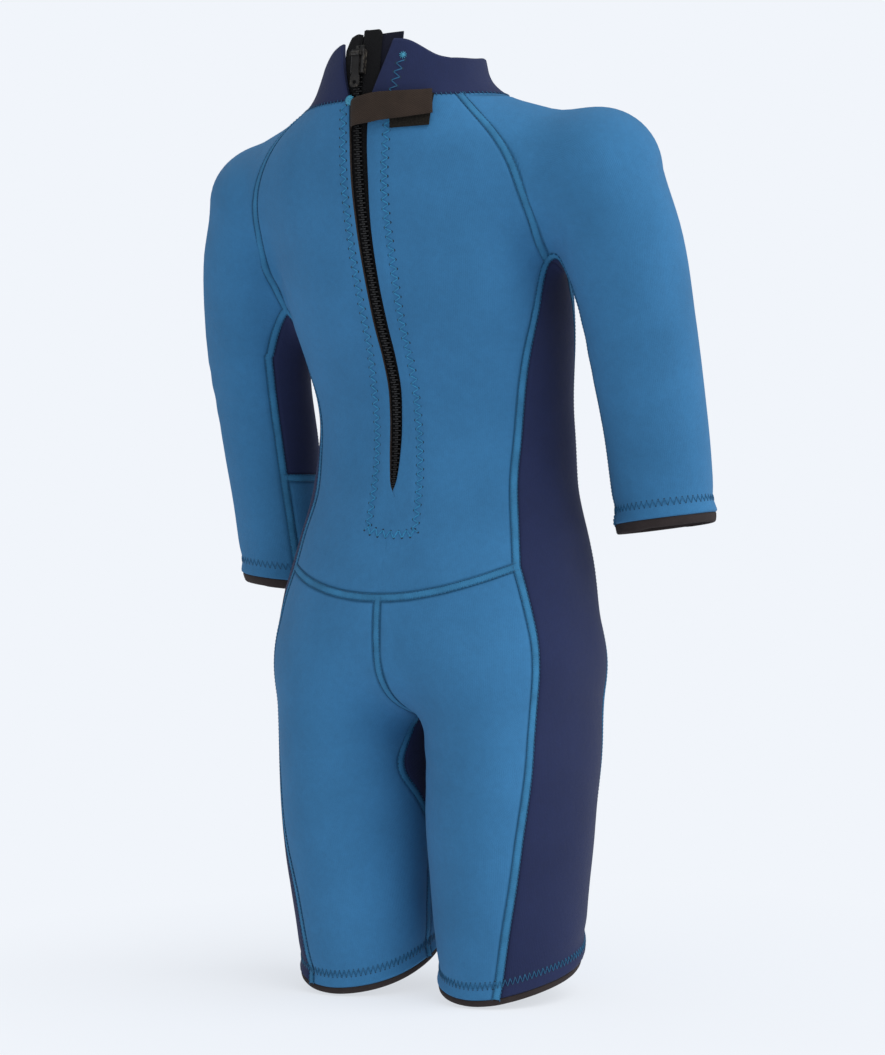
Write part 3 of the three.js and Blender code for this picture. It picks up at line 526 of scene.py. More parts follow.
def leg_grid(side, facing):
    """One leg panel, from the centre or inner thigh seam to the side seam; facing 1 is the back."""
    edge = seams[side]["side_back" if facing > 0 else "side_front"][len(BACK_ROWS) - 1 - ARMPIT_ROW:]
    waist = (back_half if facing > 0 else chest_half)[side][-1]
    skin = skin_behind if facing > 0 else skin_in_front
    crotch = settle(np.array(CROTCH[facing], float), 10)
    t = np.arange(HALF_COLUMNS) / HALF_COLUMNS
    rows = [waist]
    for i, z in enumerate(LEG_ROWS[1:], 1):
        end, k = edge[i], i - CROTCH_ROW
        if k < 0:
            row = skin(end[0] * t, z + (end[2] - z) * t * t)
        else:
            inner = facing * math.radians(GUSSET_ANGLES[k] if k < len(GUSSET_ANGLES) else 0)
            first = leg_angle(side, i, crotch) if k == 0 else inner
            row = leg_point(side, i, first + (leg_angle(side, i, end) - first) * t)
            if k == 0:
                row[0] = crotch
        rows.append(np.concatenate([row, end[None]]))
    return np.array(rows)


legs = {(side, facing): leg_grid(side, facing) for side in SIDES for facing in (1, -1)}


def gusset_strip(k, side):
    """Cross strip of the crotch gusset between the back and front inner thigh seams."""
    start, end = (legs[side, facing][CROTCH_ROW + k][0] for facing in (1, -1))
    t = np.arange(1, 4) / 4
    if k == 0:
        y, z = start[1] + (end[1] - start[1]) * t, start[2] + (end[2] - start[2]) * t
        middle = settle(points_at(0, y, z - 10 * np.sin(np.pi * t)), 10)
    else:
        middle = leg_point(side, CROTCH_ROW + k, math.radians(GUSSET_ANGLES[k]) * (1 - 2 * t))
    return np.concatenate([start[None], middle, end[None]])


gusset_grid = np.array([gusset_strip(k, -1) for k in (3, 2, 1)] + [gusset_strip(k, 1) for k in (0, 1, 2, 3)])


def side_grid(side):
    back, front = seams[side]["side_back"], seams[side]["side_front"]
    out = side * 8.0 * (np.arange(len(back)) > 2)
    inner = [settle(back + (front - back) * t + np.stack([out, 0 * out, 0 * out], -1), 10) for t in (1 / 3, 2 / 3)]
    return np.stack([back, *inner, front], 1)


side_grids = {side: side_grid(side) for side in SIDES}


def sleeve_angles(side):
    """Direction round the arm of each loop column: 0 is towards the body, 90 is the back."""
    first = BACK_SEAM_ANGLE[side]
    stretches = [(first, 150, 7), (150, 210, 4), (210, 315, 7), (315, 360 + first, 3)]
    return np.radians(np.concatenate([np.linspace(a, b, n, endpoint=False) for a, b, n in stretches]))


def armhole(side):
    s = seams[side]
    under = side_grids[side][0][1:3][::-1]
    return np.concatenate([s["raglan_back"][::-1], s["neck_side"][1:4], s["raglan_front"], under])


def arm_ring(side, z, tilt, angle):
    cx, cy = side * profile(ARMS[side], z, 1), profile(ARMS[side], z, 2)
    direction = np.stack([-side * np.cos(angle), -np.sin(angle), -tilt * np.cos(angle)], -1)
    return crossing((cx, cy, z), direction, 5, 60)


def cap_points(centre, start, end, angle, t):
    """Skin on the way from the armhole over the shoulder cap to the arm ring."""
    side = np.sign(centre[0])
    over = unit(np.stack([-side * np.cos(angle), -np.sin(angle), 0 * angle + 0.75], -1))
    lift = (2.4 * np.maximum(0, -np.cos(angle)) * t * (1 - t))[:, None]
    along = unit(start - centre) * (1 - t) ** 2 + over * lift + unit(end - centre) * t * t
    return crossing(centre, unit(along), 5, 140)


def sleeve_grid(side):
    angles, loop = sleeve_angles(side), armhole(side)
    centre = np.array(SLEEVE_TOP[side], float) * (side, 1, 1)
    ring = arm_ring(side, RING_Z[side], 0, angles)
    rows = [loop]
    rows += [cap_points(centre, loop, ring, angles, k / UPPER_SLEEVE_ROWS) for k in range(1, UPPER_SLEEVE_ROWS)]
    rows.append(ring)
    rows += [arm_ring(side, RING_Z[side] + (SLEEVE_HEM_Z[side] - RING_Z[side]) * t, SLEEVE_HEM_TILT * t, angles)
             for t in LOWER_SLEEVE_STEPS]
    grid = np.array(rows)
    return np.concatenate([grid, grid[:, :1]], 1)


sleeves = {side: sleeve_grid(side) for side in SIDES}
OUTER_COLUMNS = 18


def collar_grid(side):
    base = np.concatenate([back_half[side][0], seams[side]["neck_side"][1:4], chest_half[side][0][::-1]])
    index = np.arange(len(base))
    rows = [base]
    for share in (1 / 3, 2 / 3, 1):
        away = np.arctan2(np.abs(base[:, 0] - profile(NECK_SHIFT, base[:, 2])), -(base[:, 1] + 48))
        z = base[:, 2] + profile(COLLAR_RISE, away) * share
        axis = np.stack([profile(NECK_SHIFT, z), (back_line(z) + profile(FRONT_LINE, z)) / 2, z], -1)
        opening = side * FLAP_OPENING[side] * share * np.maximum(0, 1 - index / HALF_COLUMNS)
        out = np.stack([base[:, 0] + opening - axis[:, 0], base[:, 1] - axis[:, 1], 0 * z], -1)
        rows.append(crossing(axis, unit(out), 2, 160))
    return np.array(rows)


collars = {side: collar_grid(side) for side in SIDES}


# ------------------------------------------------------------------ smooth curves and grids
def spline(points, at):
    """Natural cubic spline through points along axis 0, read at fractional places."""
    n = len(points)
    flat = points.reshape(n, -1)
    tri = np.diag(np.full(n, 4.0)) + np.diag(np.ones(n - 1), 1) + np.diag(np.ones(n - 1), -1)
    tri[0, 0] = tri[-1, -1] = 2
    after, before = np.minimum(np.arange(n) + 1, n - 1), np.maximum(np.arange(n) - 1, 0)
    slope = np.linalg.solve(tri, 3 * (flat[after] - flat[before]))
    i = np.clip(np.floor(at).astype(int), 0, n - 2)
    out = hermite(flat[i], flat[i + 1], slope[i], slope[i + 1], (at - i)[:, None])
    return out.reshape(len(at), *points.shape[1:])


def along(points, at, breaks=()):
    """The spline, free to turn at each break, where another seam meets this one."""
    out = np.empty((len(at), *points.shape[1:]))
    ends = [0, *breaks, len(points) - 1]
    for a, b in zip(ends, ends[1:]):
        here = (at >= a) & (at <= b)
        out[here] = spline(points[a:b + 1], at[here] - a)
    return out


def curve(points, breaks, step):
    """A seam as a dense line with even steps, lying on the skin."""
    fine = along(points, np.linspace(0, len(points) - 1, (len(points) - 1) * 14 + 1), breaks)
    return even(settle(fine, 4), step)


def lengths(line):
    return np.concatenate([[0], np.cumsum(np.linalg.norm(np.diff(line, axis=0), axis=1))])


def spaced(line, count, closed=False):
    """The line read at evenly spaced places; a closed one leaves out its last point."""
    length = lengths(line)
    at = np.linspace(0, length[-1], count, endpoint=not closed)
    return np.stack([np.interp(at, length, line[:, k]) for k in range(3)], -1)


def even(line, step):
    return spaced(line, max(int(round(lengths(line)[-1] / step)), 2) + 1)


EDGE_STEPS = np.array([0, 1.2, 2.3, 3.0, 3.8, 5.0, 6.6, 8.6])  # millimetres in from a seam


def places(points, per_cell):
    """Fractional places along axis 0 of a coarse grid, closer together next to its two ends."""
    n = len(points) - 1
    size = np.linalg.norm(np.diff(points, axis=0), axis=-1).reshape(n, -1).mean(1)
    start, end = (near[near < 0.95] for near in (EDGE_STEPS / size[0], EDGE_STEPS / size[-1]))
    inner = np.arange(n * per_cell + 1) / per_cell
    inner = inner[(inner > start[-1] + 0.06) & (inner < n - end[-1] - 0.06)]
    return np.unique(np.round(np.concatenate([inner, [0.0, float(n)], start, n - end]), 5))


def refined(grid, rows_at, cols_at, row_breaks=(), col_breaks=()):
    fine = along(grid, rows_at, row_breaks)
    return along(fine.swapaxes(0, 1), cols_at, col_breaks).swapaxes(0, 1)


def edge_distance(grid, axis, reverse):
    """Distance from one edge of a grid, measured along its own lines."""
    step = np.linalg.norm(np.diff(grid, axis=axis), axis=-1)
    if reverse:
        step = np.flip(step, axis)
    zero = np.zeros_like(np.take(step, [0], axis))
    total = np.cumsum(np.concatenate([zero, step], axis), axis)
    return np.flip(total, axis) if reverse else total


def sink(kind, d):
    """How far the outer face lies under the skin at a distance from an edge."""
    if kind == "seam":
        return 0.62 * (1 - smooth_step(d, 3.1, 5.6))
    if kind == "fold":
        return 1.3 * np.maximum(0, 1 - d / 1.7) ** 2
    if kind == "butt":
        return 0.5 * np.maximum(0, 1 - d / 1.6) ** 1.5
    if kind == "cut":
        return 0.55 * np.maximum(0, 1 - d / 0.9) ** 2
    return 0 * d


# Weight of the painted shade in a seam's groove, darkest about 3 mm out from the seam's middle.
def groove_shade(d):
    return np.exp(-((d - 3.15) / 0.62) ** 2)


# ------------------------------------------------------------------ meshes
def new_object(name, vertices, faces, looks, face_look=None, values=None, cloth=None, sharp=42, smooth=True):
    """A mesh object from millimetre vertices; looks are its materials, face_look the index per face."""
    mesh = bpy.data.meshes.new(name)
    mesh.from_pydata((np.asarray(vertices) * MM).tolist(), [], [list(map(int, f)) for f in faces])
    for look in looks:
        mesh.materials.append(look)
    if face_look is not None:
        mesh.polygons.foreach_set("material_index", np.asarray(face_look, np.int32))
    if smooth:
        mesh.polygons.foreach_set("use_smooth", np.ones(len(mesh.polygons), bool))
    if values is not None:
        for key, value in values.items():
            layer = mesh.attributes.new(key, "FLOAT", "POINT")
            layer.data.foreach_set("value", np.asarray(value, np.float32))
    if cloth is not None:
        corners = np.zeros(len(mesh.loops), np.int32)
        mesh.loops.foreach_get("vertex_index", corners)
        layer = mesh.uv_layers.new(name="cloth")
        layer.data.foreach_set("uv", (np.asarray(cloth)[corners] * MM).astype(np.float32).ravel())
    mesh.validate()
    mesh.update()
    if smooth:
        mesh.set_sharp_from_angle(angle=math.radians(sharp))
    made = bpy.data.objects.new(name, mesh)
    bpy.context.scene.collection.objects.link(made)
    return made


def grid_faces(rows, cols, wrap=False):
    i, j = np.meshgrid(np.arange(rows - 1), np.arange(cols if wrap else cols - 1), indexing="ij")
    right = (j + 1) % cols
    quads = np.stack([i * cols + j, (i + 1) * cols + j, (i + 1) * cols + right, i * cols + right], -1)
    return quads.reshape(-1, 4)


def walls_of(faces, shift):
    """Quads that join each open edge of the outer faces to the same edge of the inner ones."""
    start, end = faces.ravel(), np.roll(faces, -1, 1).ravel()
    key, back = start * (shift + 1) + end, end * (shift + 1) + start
    loose = ~np.isin(key, back)
    a, b = start[loose], end[loose]
    return np.stack([b, a, a + shift, b + shift], -1)


def volume_of(vertices, faces):
    a, b, c, d = (vertices[faces[:, k]] for k in range(4))
    return (np.einsum("ij,ij->i", a, np.cross(b, c)) + np.einsum("ij,ij->i", a, np.cross(c, d))).sum()


def thick(name, outer, inner, faces, looks, values=None, cloth=None, body="suit", nodes=()):
    """Closed sheet: an outer layer, an inner one and the walls round every edge."""
    count = len(outer)
    walls = walls_of(faces, count)
    every = np.concatenate([faces, faces[:, ::-1] + count, walls])
    vertices = np.concatenate([outer, inner])
    if volume_of(vertices, every) < 0:
        every = every[:, ::-1]
    look = np.repeat([0, 2, 1], [len(faces), len(faces), len(walls)])
    look = np.minimum(look, len(looks) - 1)
    doubled = {k: np.concatenate([v, v]) for k, v in (values or {}).items()}
    cloth = None if cloth is None else np.concatenate([cloth, cloth])
    made = new_object(name, vertices, every, looks, look, doubled, cloth)
    if body:
        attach(made, body)
    if nodes:
        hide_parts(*nodes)
    return made


def cloth_map(grid):
    """Flat coordinates in millimetres, across and along the cloth."""
    across = edge_distance(grid, 1, False)
    down = edge_distance(grid, 0, False)
    return np.stack([across - across.mean(1, keepdims=True), -down], -1).reshape(-1, 2)


def patch(grid, edges):
    """Outer and inner points of a panel patch, its groove shade values (painted shade along seam grooves and butt
    joins) and its flat coordinates.

    The edges are the kinds of its top, bottom, left and right.
    """
    p, n = on_skin(grid)
    depth, line = np.zeros(grid.shape[:2]), np.zeros(grid.shape[:2])
    for kind, (axis, reverse) in zip(edges, ((0, False), (0, True), (1, False), (1, True))):
        if kind is None:
            continue
        d = edge_distance(p, axis, reverse)
        depth = np.maximum(depth, sink(kind, d))
        # painted shade: the colour darkens in the grooves beside a seam
        if kind == "seam":
            line = np.maximum(line, groove_shade(d))
        # painted shade: the colour darkens along a butt join
        if kind == "butt":
            line = np.maximum(line, 0.6 * np.exp(-(d / 0.8) ** 2))
    outer = p - n * depth[..., None]
    inner = p - n * NEOPRENE
    return outer.reshape(-1, 3), inner.reshape(-1, 3), line.ravel(), cloth_map(p)


def flat_size(grid):
    """The cut's flat size in metres, (width, length), and its area: mean spans of the finished panel."""
    width = np.linalg.norm(np.diff(grid, axis=1), axis=-1).sum(1)
    length = np.linalg.norm(np.diff(grid, axis=0), axis=-1).sum(0)
    a, b = grid[1:, :-1] - grid[:-1, :-1], grid[:-1, 1:] - grid[:-1, :-1]
    area = np.linalg.norm(np.cross(a, b), axis=-1).sum()
    flat = width.max() * MM, length.max() * MM
    return flat, min(max(area * MM * MM, 0.31 * flat[0] * flat[1]), flat[0] * flat[1])


def declare(piece, grids):
    """Works out the flat size and area of each of the panel's grids; nothing further is done with them."""
    sizes = [flat_size(g) for g in grids]


def panel(name, grid, looks, edges, row_breaks=(), col_breaks=(), per_row=6):
    rows_at, cols_at = places(grid, per_row), places(grid.swapaxes(0, 1), 5)
    fine = refined(grid, rows_at, cols_at, row_breaks, col_breaks)
    outer, inner, line, cloth = patch(fine, edges)
    made = thick(name + "_cloth", outer, inner, grid_faces(*fine.shape[:2]), looks, {"groove_shade": line}, cloth,
                 nodes=[name])
    sheets.append((made, [fine]))


sheets = []


# ------------------------------------------------------------------ materials
class Look:
    """A procedural material: a shader and the nodes that feed it."""

    def __init__(self, name):
        self.material = bpy.data.materials.new(name)
        self.material.use_nodes = True
        self.tree = self.material.node_tree
        self.shader = self.tree.nodes["Principled BSDF"]

    def put(self, socket, value):
        if isinstance(value, bpy.types.NodeSocket):
            self.tree.links.new(value, socket)
        elif hasattr(value, "__len__") and len(value) == 3 and socket.type == "RGBA":
            socket.default_value = (*value, 1)
        else:
            socket.default_value = value

    def node(self, kind, inputs, output=0, **settings):
        made = self.tree.nodes.new(kind)
        for key, value in settings.items():
            setattr(made, key, value)
        for key, value in inputs.items():
            self.put(made.inputs[key], value)
        return made.outputs[output]

    def math(self, operation, a, b=0.0, c=0.0):
        return self.node("ShaderNodeMath", {0: a, 1: b, 2: c}, operation=operation)

    def times(self, a, b):
        return self.math("MULTIPLY", a, b)

    def plus(self, a, b):
        return self.math("ADD", a, b)

    def wave(self, value, length, kind="SINE"):
        return self.math(kind, self.times(value, 2 * math.pi / length))

    def where(self, kind):
        return self.node("ShaderNodeTexCoord", {}, kind)

    def parts(self, vector):
        split = self.tree.nodes.new("ShaderNodeSeparateXYZ")
        self.put(split.inputs[0], vector)
        return split.outputs

    def noise(self, vector, span, detail=2.0, seed=0.0, roughness=0.5):
        """Noise with features about span metres wide."""
        return self.node("ShaderNodeTexNoise", {"Vector": vector, "W": seed, "Scale": 1 / span, "Detail": detail,
                         "Roughness": roughness}, noise_dimensions="4D")

    def spread(self, value, low, high, to_low=0.0, to_high=1.0):
        return self.node("ShaderNodeMapRange", {"Value": value, "From Min": low, "From Max": high,
                         "To Min": to_low, "To Max": to_high})

    def swing(self, noise, to_low, to_high):
        """Noise, which keeps near its middle, stretched over a range."""
        return self.spread(noise, 0.3, 0.7, to_low, to_high)

    def blend(self, share, a, b, kind="MIX"):
        made = self.tree.nodes.new("ShaderNodeMix")
        made.data_type, made.blend_type = "RGBA", kind
        self.put(made.inputs["Factor"], share)
        self.put(made.inputs[6], a)
        self.put(made.inputs[7], b)
        return made.outputs[2]

    def shaded(self, colour, tone):
        """A colour made lighter and darker by a grey tone round 1."""
        grey = self.node("ShaderNodeCombineColor", {0: tone, 1: tone, 2: tone})
        return self.blend(1.0, colour, grey, "MULTIPLY")

    def attribute(self, name):
        return self.node("ShaderNodeAttribute", {}, "Fac", attribute_name=name)

    def bump(self, height, depth, strength=1.0, under=None):
        inputs = {"Height": height, "Distance": depth, "Strength": strength}
        if under is not None:
            inputs["Normal"] = under
        return self.node("ShaderNodeBump", inputs)

    def done(self, colour, roughness, normal=None, metallic=0.0, sheen=0.0, specular=0.3):
        self.put(self.shader.inputs["Base Color"], colour)
        self.put(self.shader.inputs["Roughness"], roughness)
        self.put(self.shader.inputs["Metallic"], metallic)
        self.put(self.shader.inputs["Specular IOR Level"], specular)
        self.put(self.shader.inputs["Sheen Weight"], sheen)
        if normal is not None:
            self.put(self.shader.inputs["Normal"], normal)
        return self.material

    def worn(self):
        """Where corners and ridges rub bare."""
        sharp = self.node("ShaderNodeNewGeometry", {}, "Pointiness")
        scuff = self.noise(self.where("Object"), 0.0015, 3)
        return self.times(self.spread(sharp, 0.55, 0.72, 0, 0.5), self.spread(scuff, 0.45, 0.66))


def knit(name, colour, seam_shade_colour, sheen=0.06, wale=0.0013):
    """Jersey-faced neoprene: columns of small V stitches over soft foam."""
    look = Look(name)
    cloth, space = look.where("UV"), look.where("Object")
    x, y, _ = look.parts(cloth)
    column = look.times(x, 1 / wale)
    vee = look.math("PINGPONG", column, 0.5)
    row = look.plus(look.times(y, 1 / (wale * 0.72)), look.times(vee, 1.3))
    stitch = look.spread(look.wave(row, 1), -1, 1)
    rib = look.spread(look.wave(column, 1, "COSINE"), -1, 1)
    fabric = look.plus(look.times(stitch, 0.6), look.times(rib, 0.4))
    lint = look.noise(space, 0.0007, 2, 3)
    mottle = look.noise(space, 0.0042, 3, 7)
    cloud = look.noise(space, 0.045, 2, 1)
    tone = look.swing(cloud, 0.93, 1.07)
    tone = look.times(tone, look.swing(mottle, 0.955, 1.045))
    tone = look.times(tone, look.swing(lint, 0.95, 1.05))
    tone = look.times(tone, look.spread(fabric, 0, 1, 0.95, 1.05))
    base = look.shaded(colour, tone)
    # painted shade: the colour goes towards seam_shade_colour where the cloth dips at seams and joins
    base = look.blend(look.times(look.attribute("groove_shade"), 0.72), base, seam_shade_colour)
    foam = look.bump(mottle, 0.0005, 0.45)
    normal = look.bump(fabric, 0.00022, 0.5, look.bump(lint, 0.00025, 0.35, foam))
    rough = look.swing(mottle, 0.78, 0.92)
    return look.done(base, rough, normal, sheen=sheen, specular=0.09)


def foam(name, colour):
    """The cut edge of closed-cell foam."""
    look = Look(name)
    space = look.where("Object")
    cells = look.node("ShaderNodeTexVoronoi", {"Vector": space, "Scale": 1 / 0.0007}, "Distance")
    cloud = look.noise(space, 0.006, 2)
    tone = look.times(look.spread(cells, 0, 0.8, 0.8, 1.15), look.swing(cloud, 0.88, 1.12))
    return look.done(look.shaded(colour, tone), look.swing(cloud, 0.8, 0.95),
                     look.bump(cells, 0.0002, 0.6), specular=0.2)


def woven(name, colour, rib, pick, contrast=0.12, shine=0.75, diagonal=0.0):
    """Woven webbing or tape: ribs along the length crossed by picks."""
    look = Look(name)
    cloth, space = look.where("UV"), look.where("Object")
    x, y, _ = look.parts(cloth)
    lean = look.plus(y, look.times(x, diagonal))
    across = look.wave(x, rib)
    down = look.wave(lean, pick)
    weave = look.spread(look.times(across, down), -1, 1)
    fuzz = look.noise(space, 0.0006, 3, 5)
    cloud = look.noise(space, 0.012, 2, 2)
    tone = look.times(look.spread(weave, 0, 1, 1 - contrast, 1 + contrast),
                     look.swing(cloud, 0.86, 1.14))
    tone = look.times(tone, look.swing(fuzz, 0.9, 1.1))
    normal = look.bump(weave, 0.0003, 0.8, look.bump(fuzz, 0.0002, 0.5))
    return look.done(look.shaded(colour, tone),
                     look.swing(cloud, shine - 0.08, shine + 0.1), normal, sheen=0.03, specular=0.1)


def hard(name, colour, bare, roughness, metallic=0.0):
    """Moulded plastic or enamelled metal with rubbed corners and faint scratches."""
    look = Look(name)
    space = look.where("Object")
    grain = look.noise(space, 0.0008, 3)
    smear = look.noise(space, 0.007, 2, 4)
    worn = look.worn()
    tone = look.shaded(colour, look.swing(smear, 0.8, 1.25))
    rough = look.plus(look.swing(smear, roughness - 0.07, roughness + 0.1),
                      look.times(worn, 0.08))
    metal = look.times(worn, 0.9) if metallic else 0.0
    return look.done(look.blend(worn, tone, bare), rough, look.bump(grain, 0.00006, 0.3), metal, specular=0.32)


def yarn(name, colour):
    """Twisted sewing thread."""
    look = Look(name)
    space = look.where("Object")
    x, y, z = look.parts(space)
    slant = look.plus(look.plus(x, y), z)
    ply = look.spread(look.wave(slant, 0.0006), -1, 1)
    cloud = look.noise(space, 0.004, 2)
    tone = look.times(look.spread(ply, 0, 1, 0.85, 1.12), look.swing(cloud, 0.8, 1.2))
    return look.done(look.shaded(colour, tone), look.swing(cloud, 0.5, 0.7),
                     look.bump(ply, 0.0001, 0.5), specular=0.4)


def pile(name, colour, span):
    """Hook or loop pile."""
    look = Look(name)
    space = look.where("Object")
    curls = look.node("ShaderNodeTexVoronoi", {"Vector": space, "Scale": 1 / span}, "Distance")
    cloud = look.noise(space, 0.006, 3)
    tone = look.times(look.spread(curls, 0, 0.8, 1.25, 0.6), look.swing(cloud, 0.85, 1.15))
    return look.done(look.shaded(colour, tone), look.swing(cloud, 0.8, 0.95),
                     look.bump(curls, 0.0006, 0.9), sheen=0.05, specular=0.1)


# The second colour of each knit is the painted shade in its seam grooves and joins.
BLUE_KNIT = knit("blue_knit", (0.043, 0.178, 0.365), (0.012, 0.065, 0.13))
NAVY_KNIT = knit("navy_knit", (0.0205, 0.0285, 0.080), (0.006, 0.008, 0.024))
# The zip backing's navy knit darkened almost to black: painted shade inside the zip opening.
SHADED_BACKING_KNIT = knit("backing_knit_painted_shade", (0.010, 0.011, 0.022), (0.004, 0.004, 0.01))
LINING_KNIT = knit("lining_knit", (0.022, 0.026, 0.05), (0.01, 0.01, 0.02))
FLATLOCK = woven("flatlock_seam", (0.040, 0.182, 0.350), 0.0104, 0.00135, 0.07, 0.8)
FOAM_EDGE = foam("foam_edge", (0.055, 0.040, 0.034))
BLUE_EDGE = foam("blue_edge", (0.040, 0.155, 0.30))
NAVY_EDGE = foam("navy_edge", (0.021, 0.027, 0.068))
BINDING = woven("hem_binding_cloth", (0.040, 0.031, 0.030), 0.0011, 0.0011, 0.2, 0.86)
TAPE_CLOTH = woven("zip_tape_cloth", (0.0085, 0.0085, 0.0095), 0.0009, 0.0012, 0.3, 0.8, diagonal=1.0)
WEBBING_CLOTH = woven("webbing_cloth", (0.037, 0.0255, 0.0195), 0.0015, 0.0019, 0.24, 0.7)
UNDER_WEBBING = woven("under_webbing", (0.014, 0.013, 0.008), 0.0012, 0.0016, 0.3, 0.8)
TOOTH_PLASTIC = hard("tooth_plastic", (0.010, 0.010, 0.011), (0.09, 0.085, 0.075), 0.34)
SLIDER_ENAMEL = hard("slider_enamel", (0.012, 0.011, 0.011), (0.42, 0.37, 0.30), 0.36, 1.0)
BLUE_THREAD = yarn("blue_thread", (0.028, 0.235, 0.44))
DEEP_THREAD = yarn("deep_thread", (0.012, 0.105, 0.22))
KNOT_THREAD = yarn("knot_thread", (0.05, 0.30, 0.46))
# Colour of the needle holes: painted shade in the pits where the thread enters the cloth.
HOLE_SHADE = yarn("needle_hole_shade", (0.003, 0.018, 0.045))
LOOPS = pile("loop_pile", (0.016, 0.014, 0.011), 0.0011)
HOOKS = pile("hook_pile", (0.013, 0.012, 0.010), 0.0014)

BLUE_SHEET = [BLUE_KNIT, BLUE_EDGE, LINING_KNIT]
NAVY_SHEET = [NAVY_KNIT, NAVY_EDGE, LINING_KNIT]

# ------------------------------------------------------------------ neoprene panels
LEG_BREAKS = [CROTCH_ROW, 8]
SIDE_BREAKS = [8, 13, 16]
COLLAR_BREAKS = [6, 10]
OPENING_FOOT = ZIP_END_Z + 4
OPENING_PULL = 14  # how far from the opening the cloth follows its sway


def opened_half(side):
    """One half of the back, its inner edge on the zip opening, with outer and inner points."""
    coarse = back_half[side]
    fine = refined(coarse, places(coarse, 6), places(coarse.swapaxes(0, 1), 6), [ARMPIT_ROW])
    x, heights = fine[:, :, 0], fine[:, 0, 2]
    opened = heights > OPENING_FOOT
    target = np.where(opened, slit_edge(side, heights), 0.0)
    pull = np.clip(1 - np.abs(x - x[:, :1]) / OPENING_PULL, 0, 1) ** 2
    moved = x + (target - x[:, 0])[:, None] * pull
    fine = settle(np.stack([moved, fine[:, :, 1], fine[:, :, 2]], -1), 3)
    fine[:, 0, 0] = target
    outer, inner, line, cloth = patch(fine, ("butt", "seam", None, "seam"))
    cut = sink("cut", edge_distance(fine, 1, False)) * opened[:, None]
    outer = outer - (unit(gradient(fine)) * cut[..., None]).reshape(-1, 3)
    return fine, opened, outer, inner, line, cloth


def back_panel():
    """Two halves in one mesh, parted along the zip opening and one cloth below it."""
    halves = [opened_half(side) for side in SIDES]
    grids, opened = [half[0] for half in halves], halves[0][1]
    outer, inner, line, cloth = (np.concatenate([half[k] for half in halves]) for k in (2, 3, 4, 5))
    (rows, cols), (left_rows, left_cols) = (grid.shape[:2] for grid in grids)
    faces = np.concatenate([grid_faces(rows, cols), grid_faces(left_rows, left_cols)[:, ::-1] + rows * cols])
    right_edge = (np.arange(rows) * cols)[~opened]
    left_edge = (np.arange(rows) * left_cols + rows * cols)[~opened]
    same = np.arange(len(outer))
    same[left_edge] = right_edge
    used, faces = np.unique(same[faces], return_inverse=True)
    made = thick("back_panel_cloth", outer[used], inner[used], faces.reshape(-1, 4),
                 [BLUE_KNIT, FOAM_EDGE, LINING_KNIT], {"groove_shade": line[used]}, cloth[used], nodes=["back_panel"])
    sheets.append((made, grids))


back_panel()
chest = np.concatenate([chest_half[-1][:, ::-1], chest_half[1][:, 1:]], 1)
panel("chest_panel", chest, BLUE_SHEET, ("butt", "seam", "seam", "seam"), [ARMPIT_ROW], [HALF_COLUMNS])
for (side, facing), grid in legs.items():
    name = ("leg_back_" if facing > 0 else "leg_front_") + side_name(side)
    panel(name, grid, BLUE_SHEET, ("seam", "fold", "seam", "seam"), LEG_BREAKS)
panel("crotch_gusset", gusset_grid, NAVY_SHEET, (None, None, "seam", "seam"), [3])
for side in SIDES:
    name = side_name(side)
    outer, inner = sleeves[side][:, :OUTER_COLUMNS + 1], sleeves[side][:, OUTER_COLUMNS:]
    panel("side_panel_" + name, side_grids[side], NAVY_SHEET, ("butt", "fold", "seam", "seam"), SIDE_BREAKS,
          per_row=5)
    panel("sleeve_" + name, outer, BLUE_SHEET, ("seam", "fold", "seam", "seam"), [GUSSET_ROW], [7, 11])
    panel("underarm_gusset_" + name, inner[:GUSSET_ROW + 1], NAVY_SHEET, ("butt", "seam", "seam", "seam"),
          per_row=5)
    panel("sleeve_inner_" + name, inner[GUSSET_ROW:], BLUE_SHEET, ("seam", "fold", "seam", "seam"), per_row=8)
    panel("collar_" + name, collars[side], NAVY_SHEET, ("butt", "fold", "cut", "butt"), (), COLLAR_BREAKS,
          per_row=7)

# ------------------------------------------------------------------ seams: ribbons, stitches, holes
STITCH_PITCH = 2.7
COLLAR_STITCH_PITCH = 3.5
STITCH_OUT = 2.62  # from the seam's middle to each line of stitches


def tangents(line):
    return unit(np.gradient(line, axis=0))


def sweep(line, normal, section, wave=0.0):
    """A closed body whose section, (across, up) points, follows a line; open lines get end caps."""
    side = unit(np.cross(tangents(line), normal))
    across, up = np.array(section, float).T
    lift = wave * np.cos(np.arange(len(line)) * 2.1)[:, None] * (up > 0)
    p = line[:, None] + side[:, None] * across[None, :, None] + normal[:, None] * (up[None] + lift)[..., None]
    rows, cols = p.shape[:2]
    faces = [*grid_faces(rows, cols, True), np.arange(cols), np.arange(cols)[::-1] + (rows - 1) * cols]
    cloth = np.stack(np.broadcast_arrays(across[None], lengths(line)[:, None]), -1)
    return p.reshape(-1, 3), faces, cloth.reshape(-1, 2)


def gathered(parts):
    """Several (vertices, faces, cloth) bodies as one."""
    vertices, faces, cloth, offset = [], [], [], 0
    for v, f, c in parts:
        vertices.append(v)
        cloth.append(c)
        faces += [np.asarray(face) + offset for face in f]
        offset += len(v)
    return np.concatenate(vertices), faces, np.concatenate(cloth)


def one_piece(name, parts, looks, body="suit", nodes=(), sharp=50):
    vertices, faces, cloth = gathered(parts)
    made = new_object(name, vertices, faces, looks, cloth=cloth, sharp=sharp)
    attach(made, body)
    if nodes:
        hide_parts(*nodes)
    return made


RING_AT = np.array([0, 0.12, 0.5, 0.88, 1.0])
RING_SIZE = np.array([0.3, 0.85, 1.0, 0.85, 0.3])


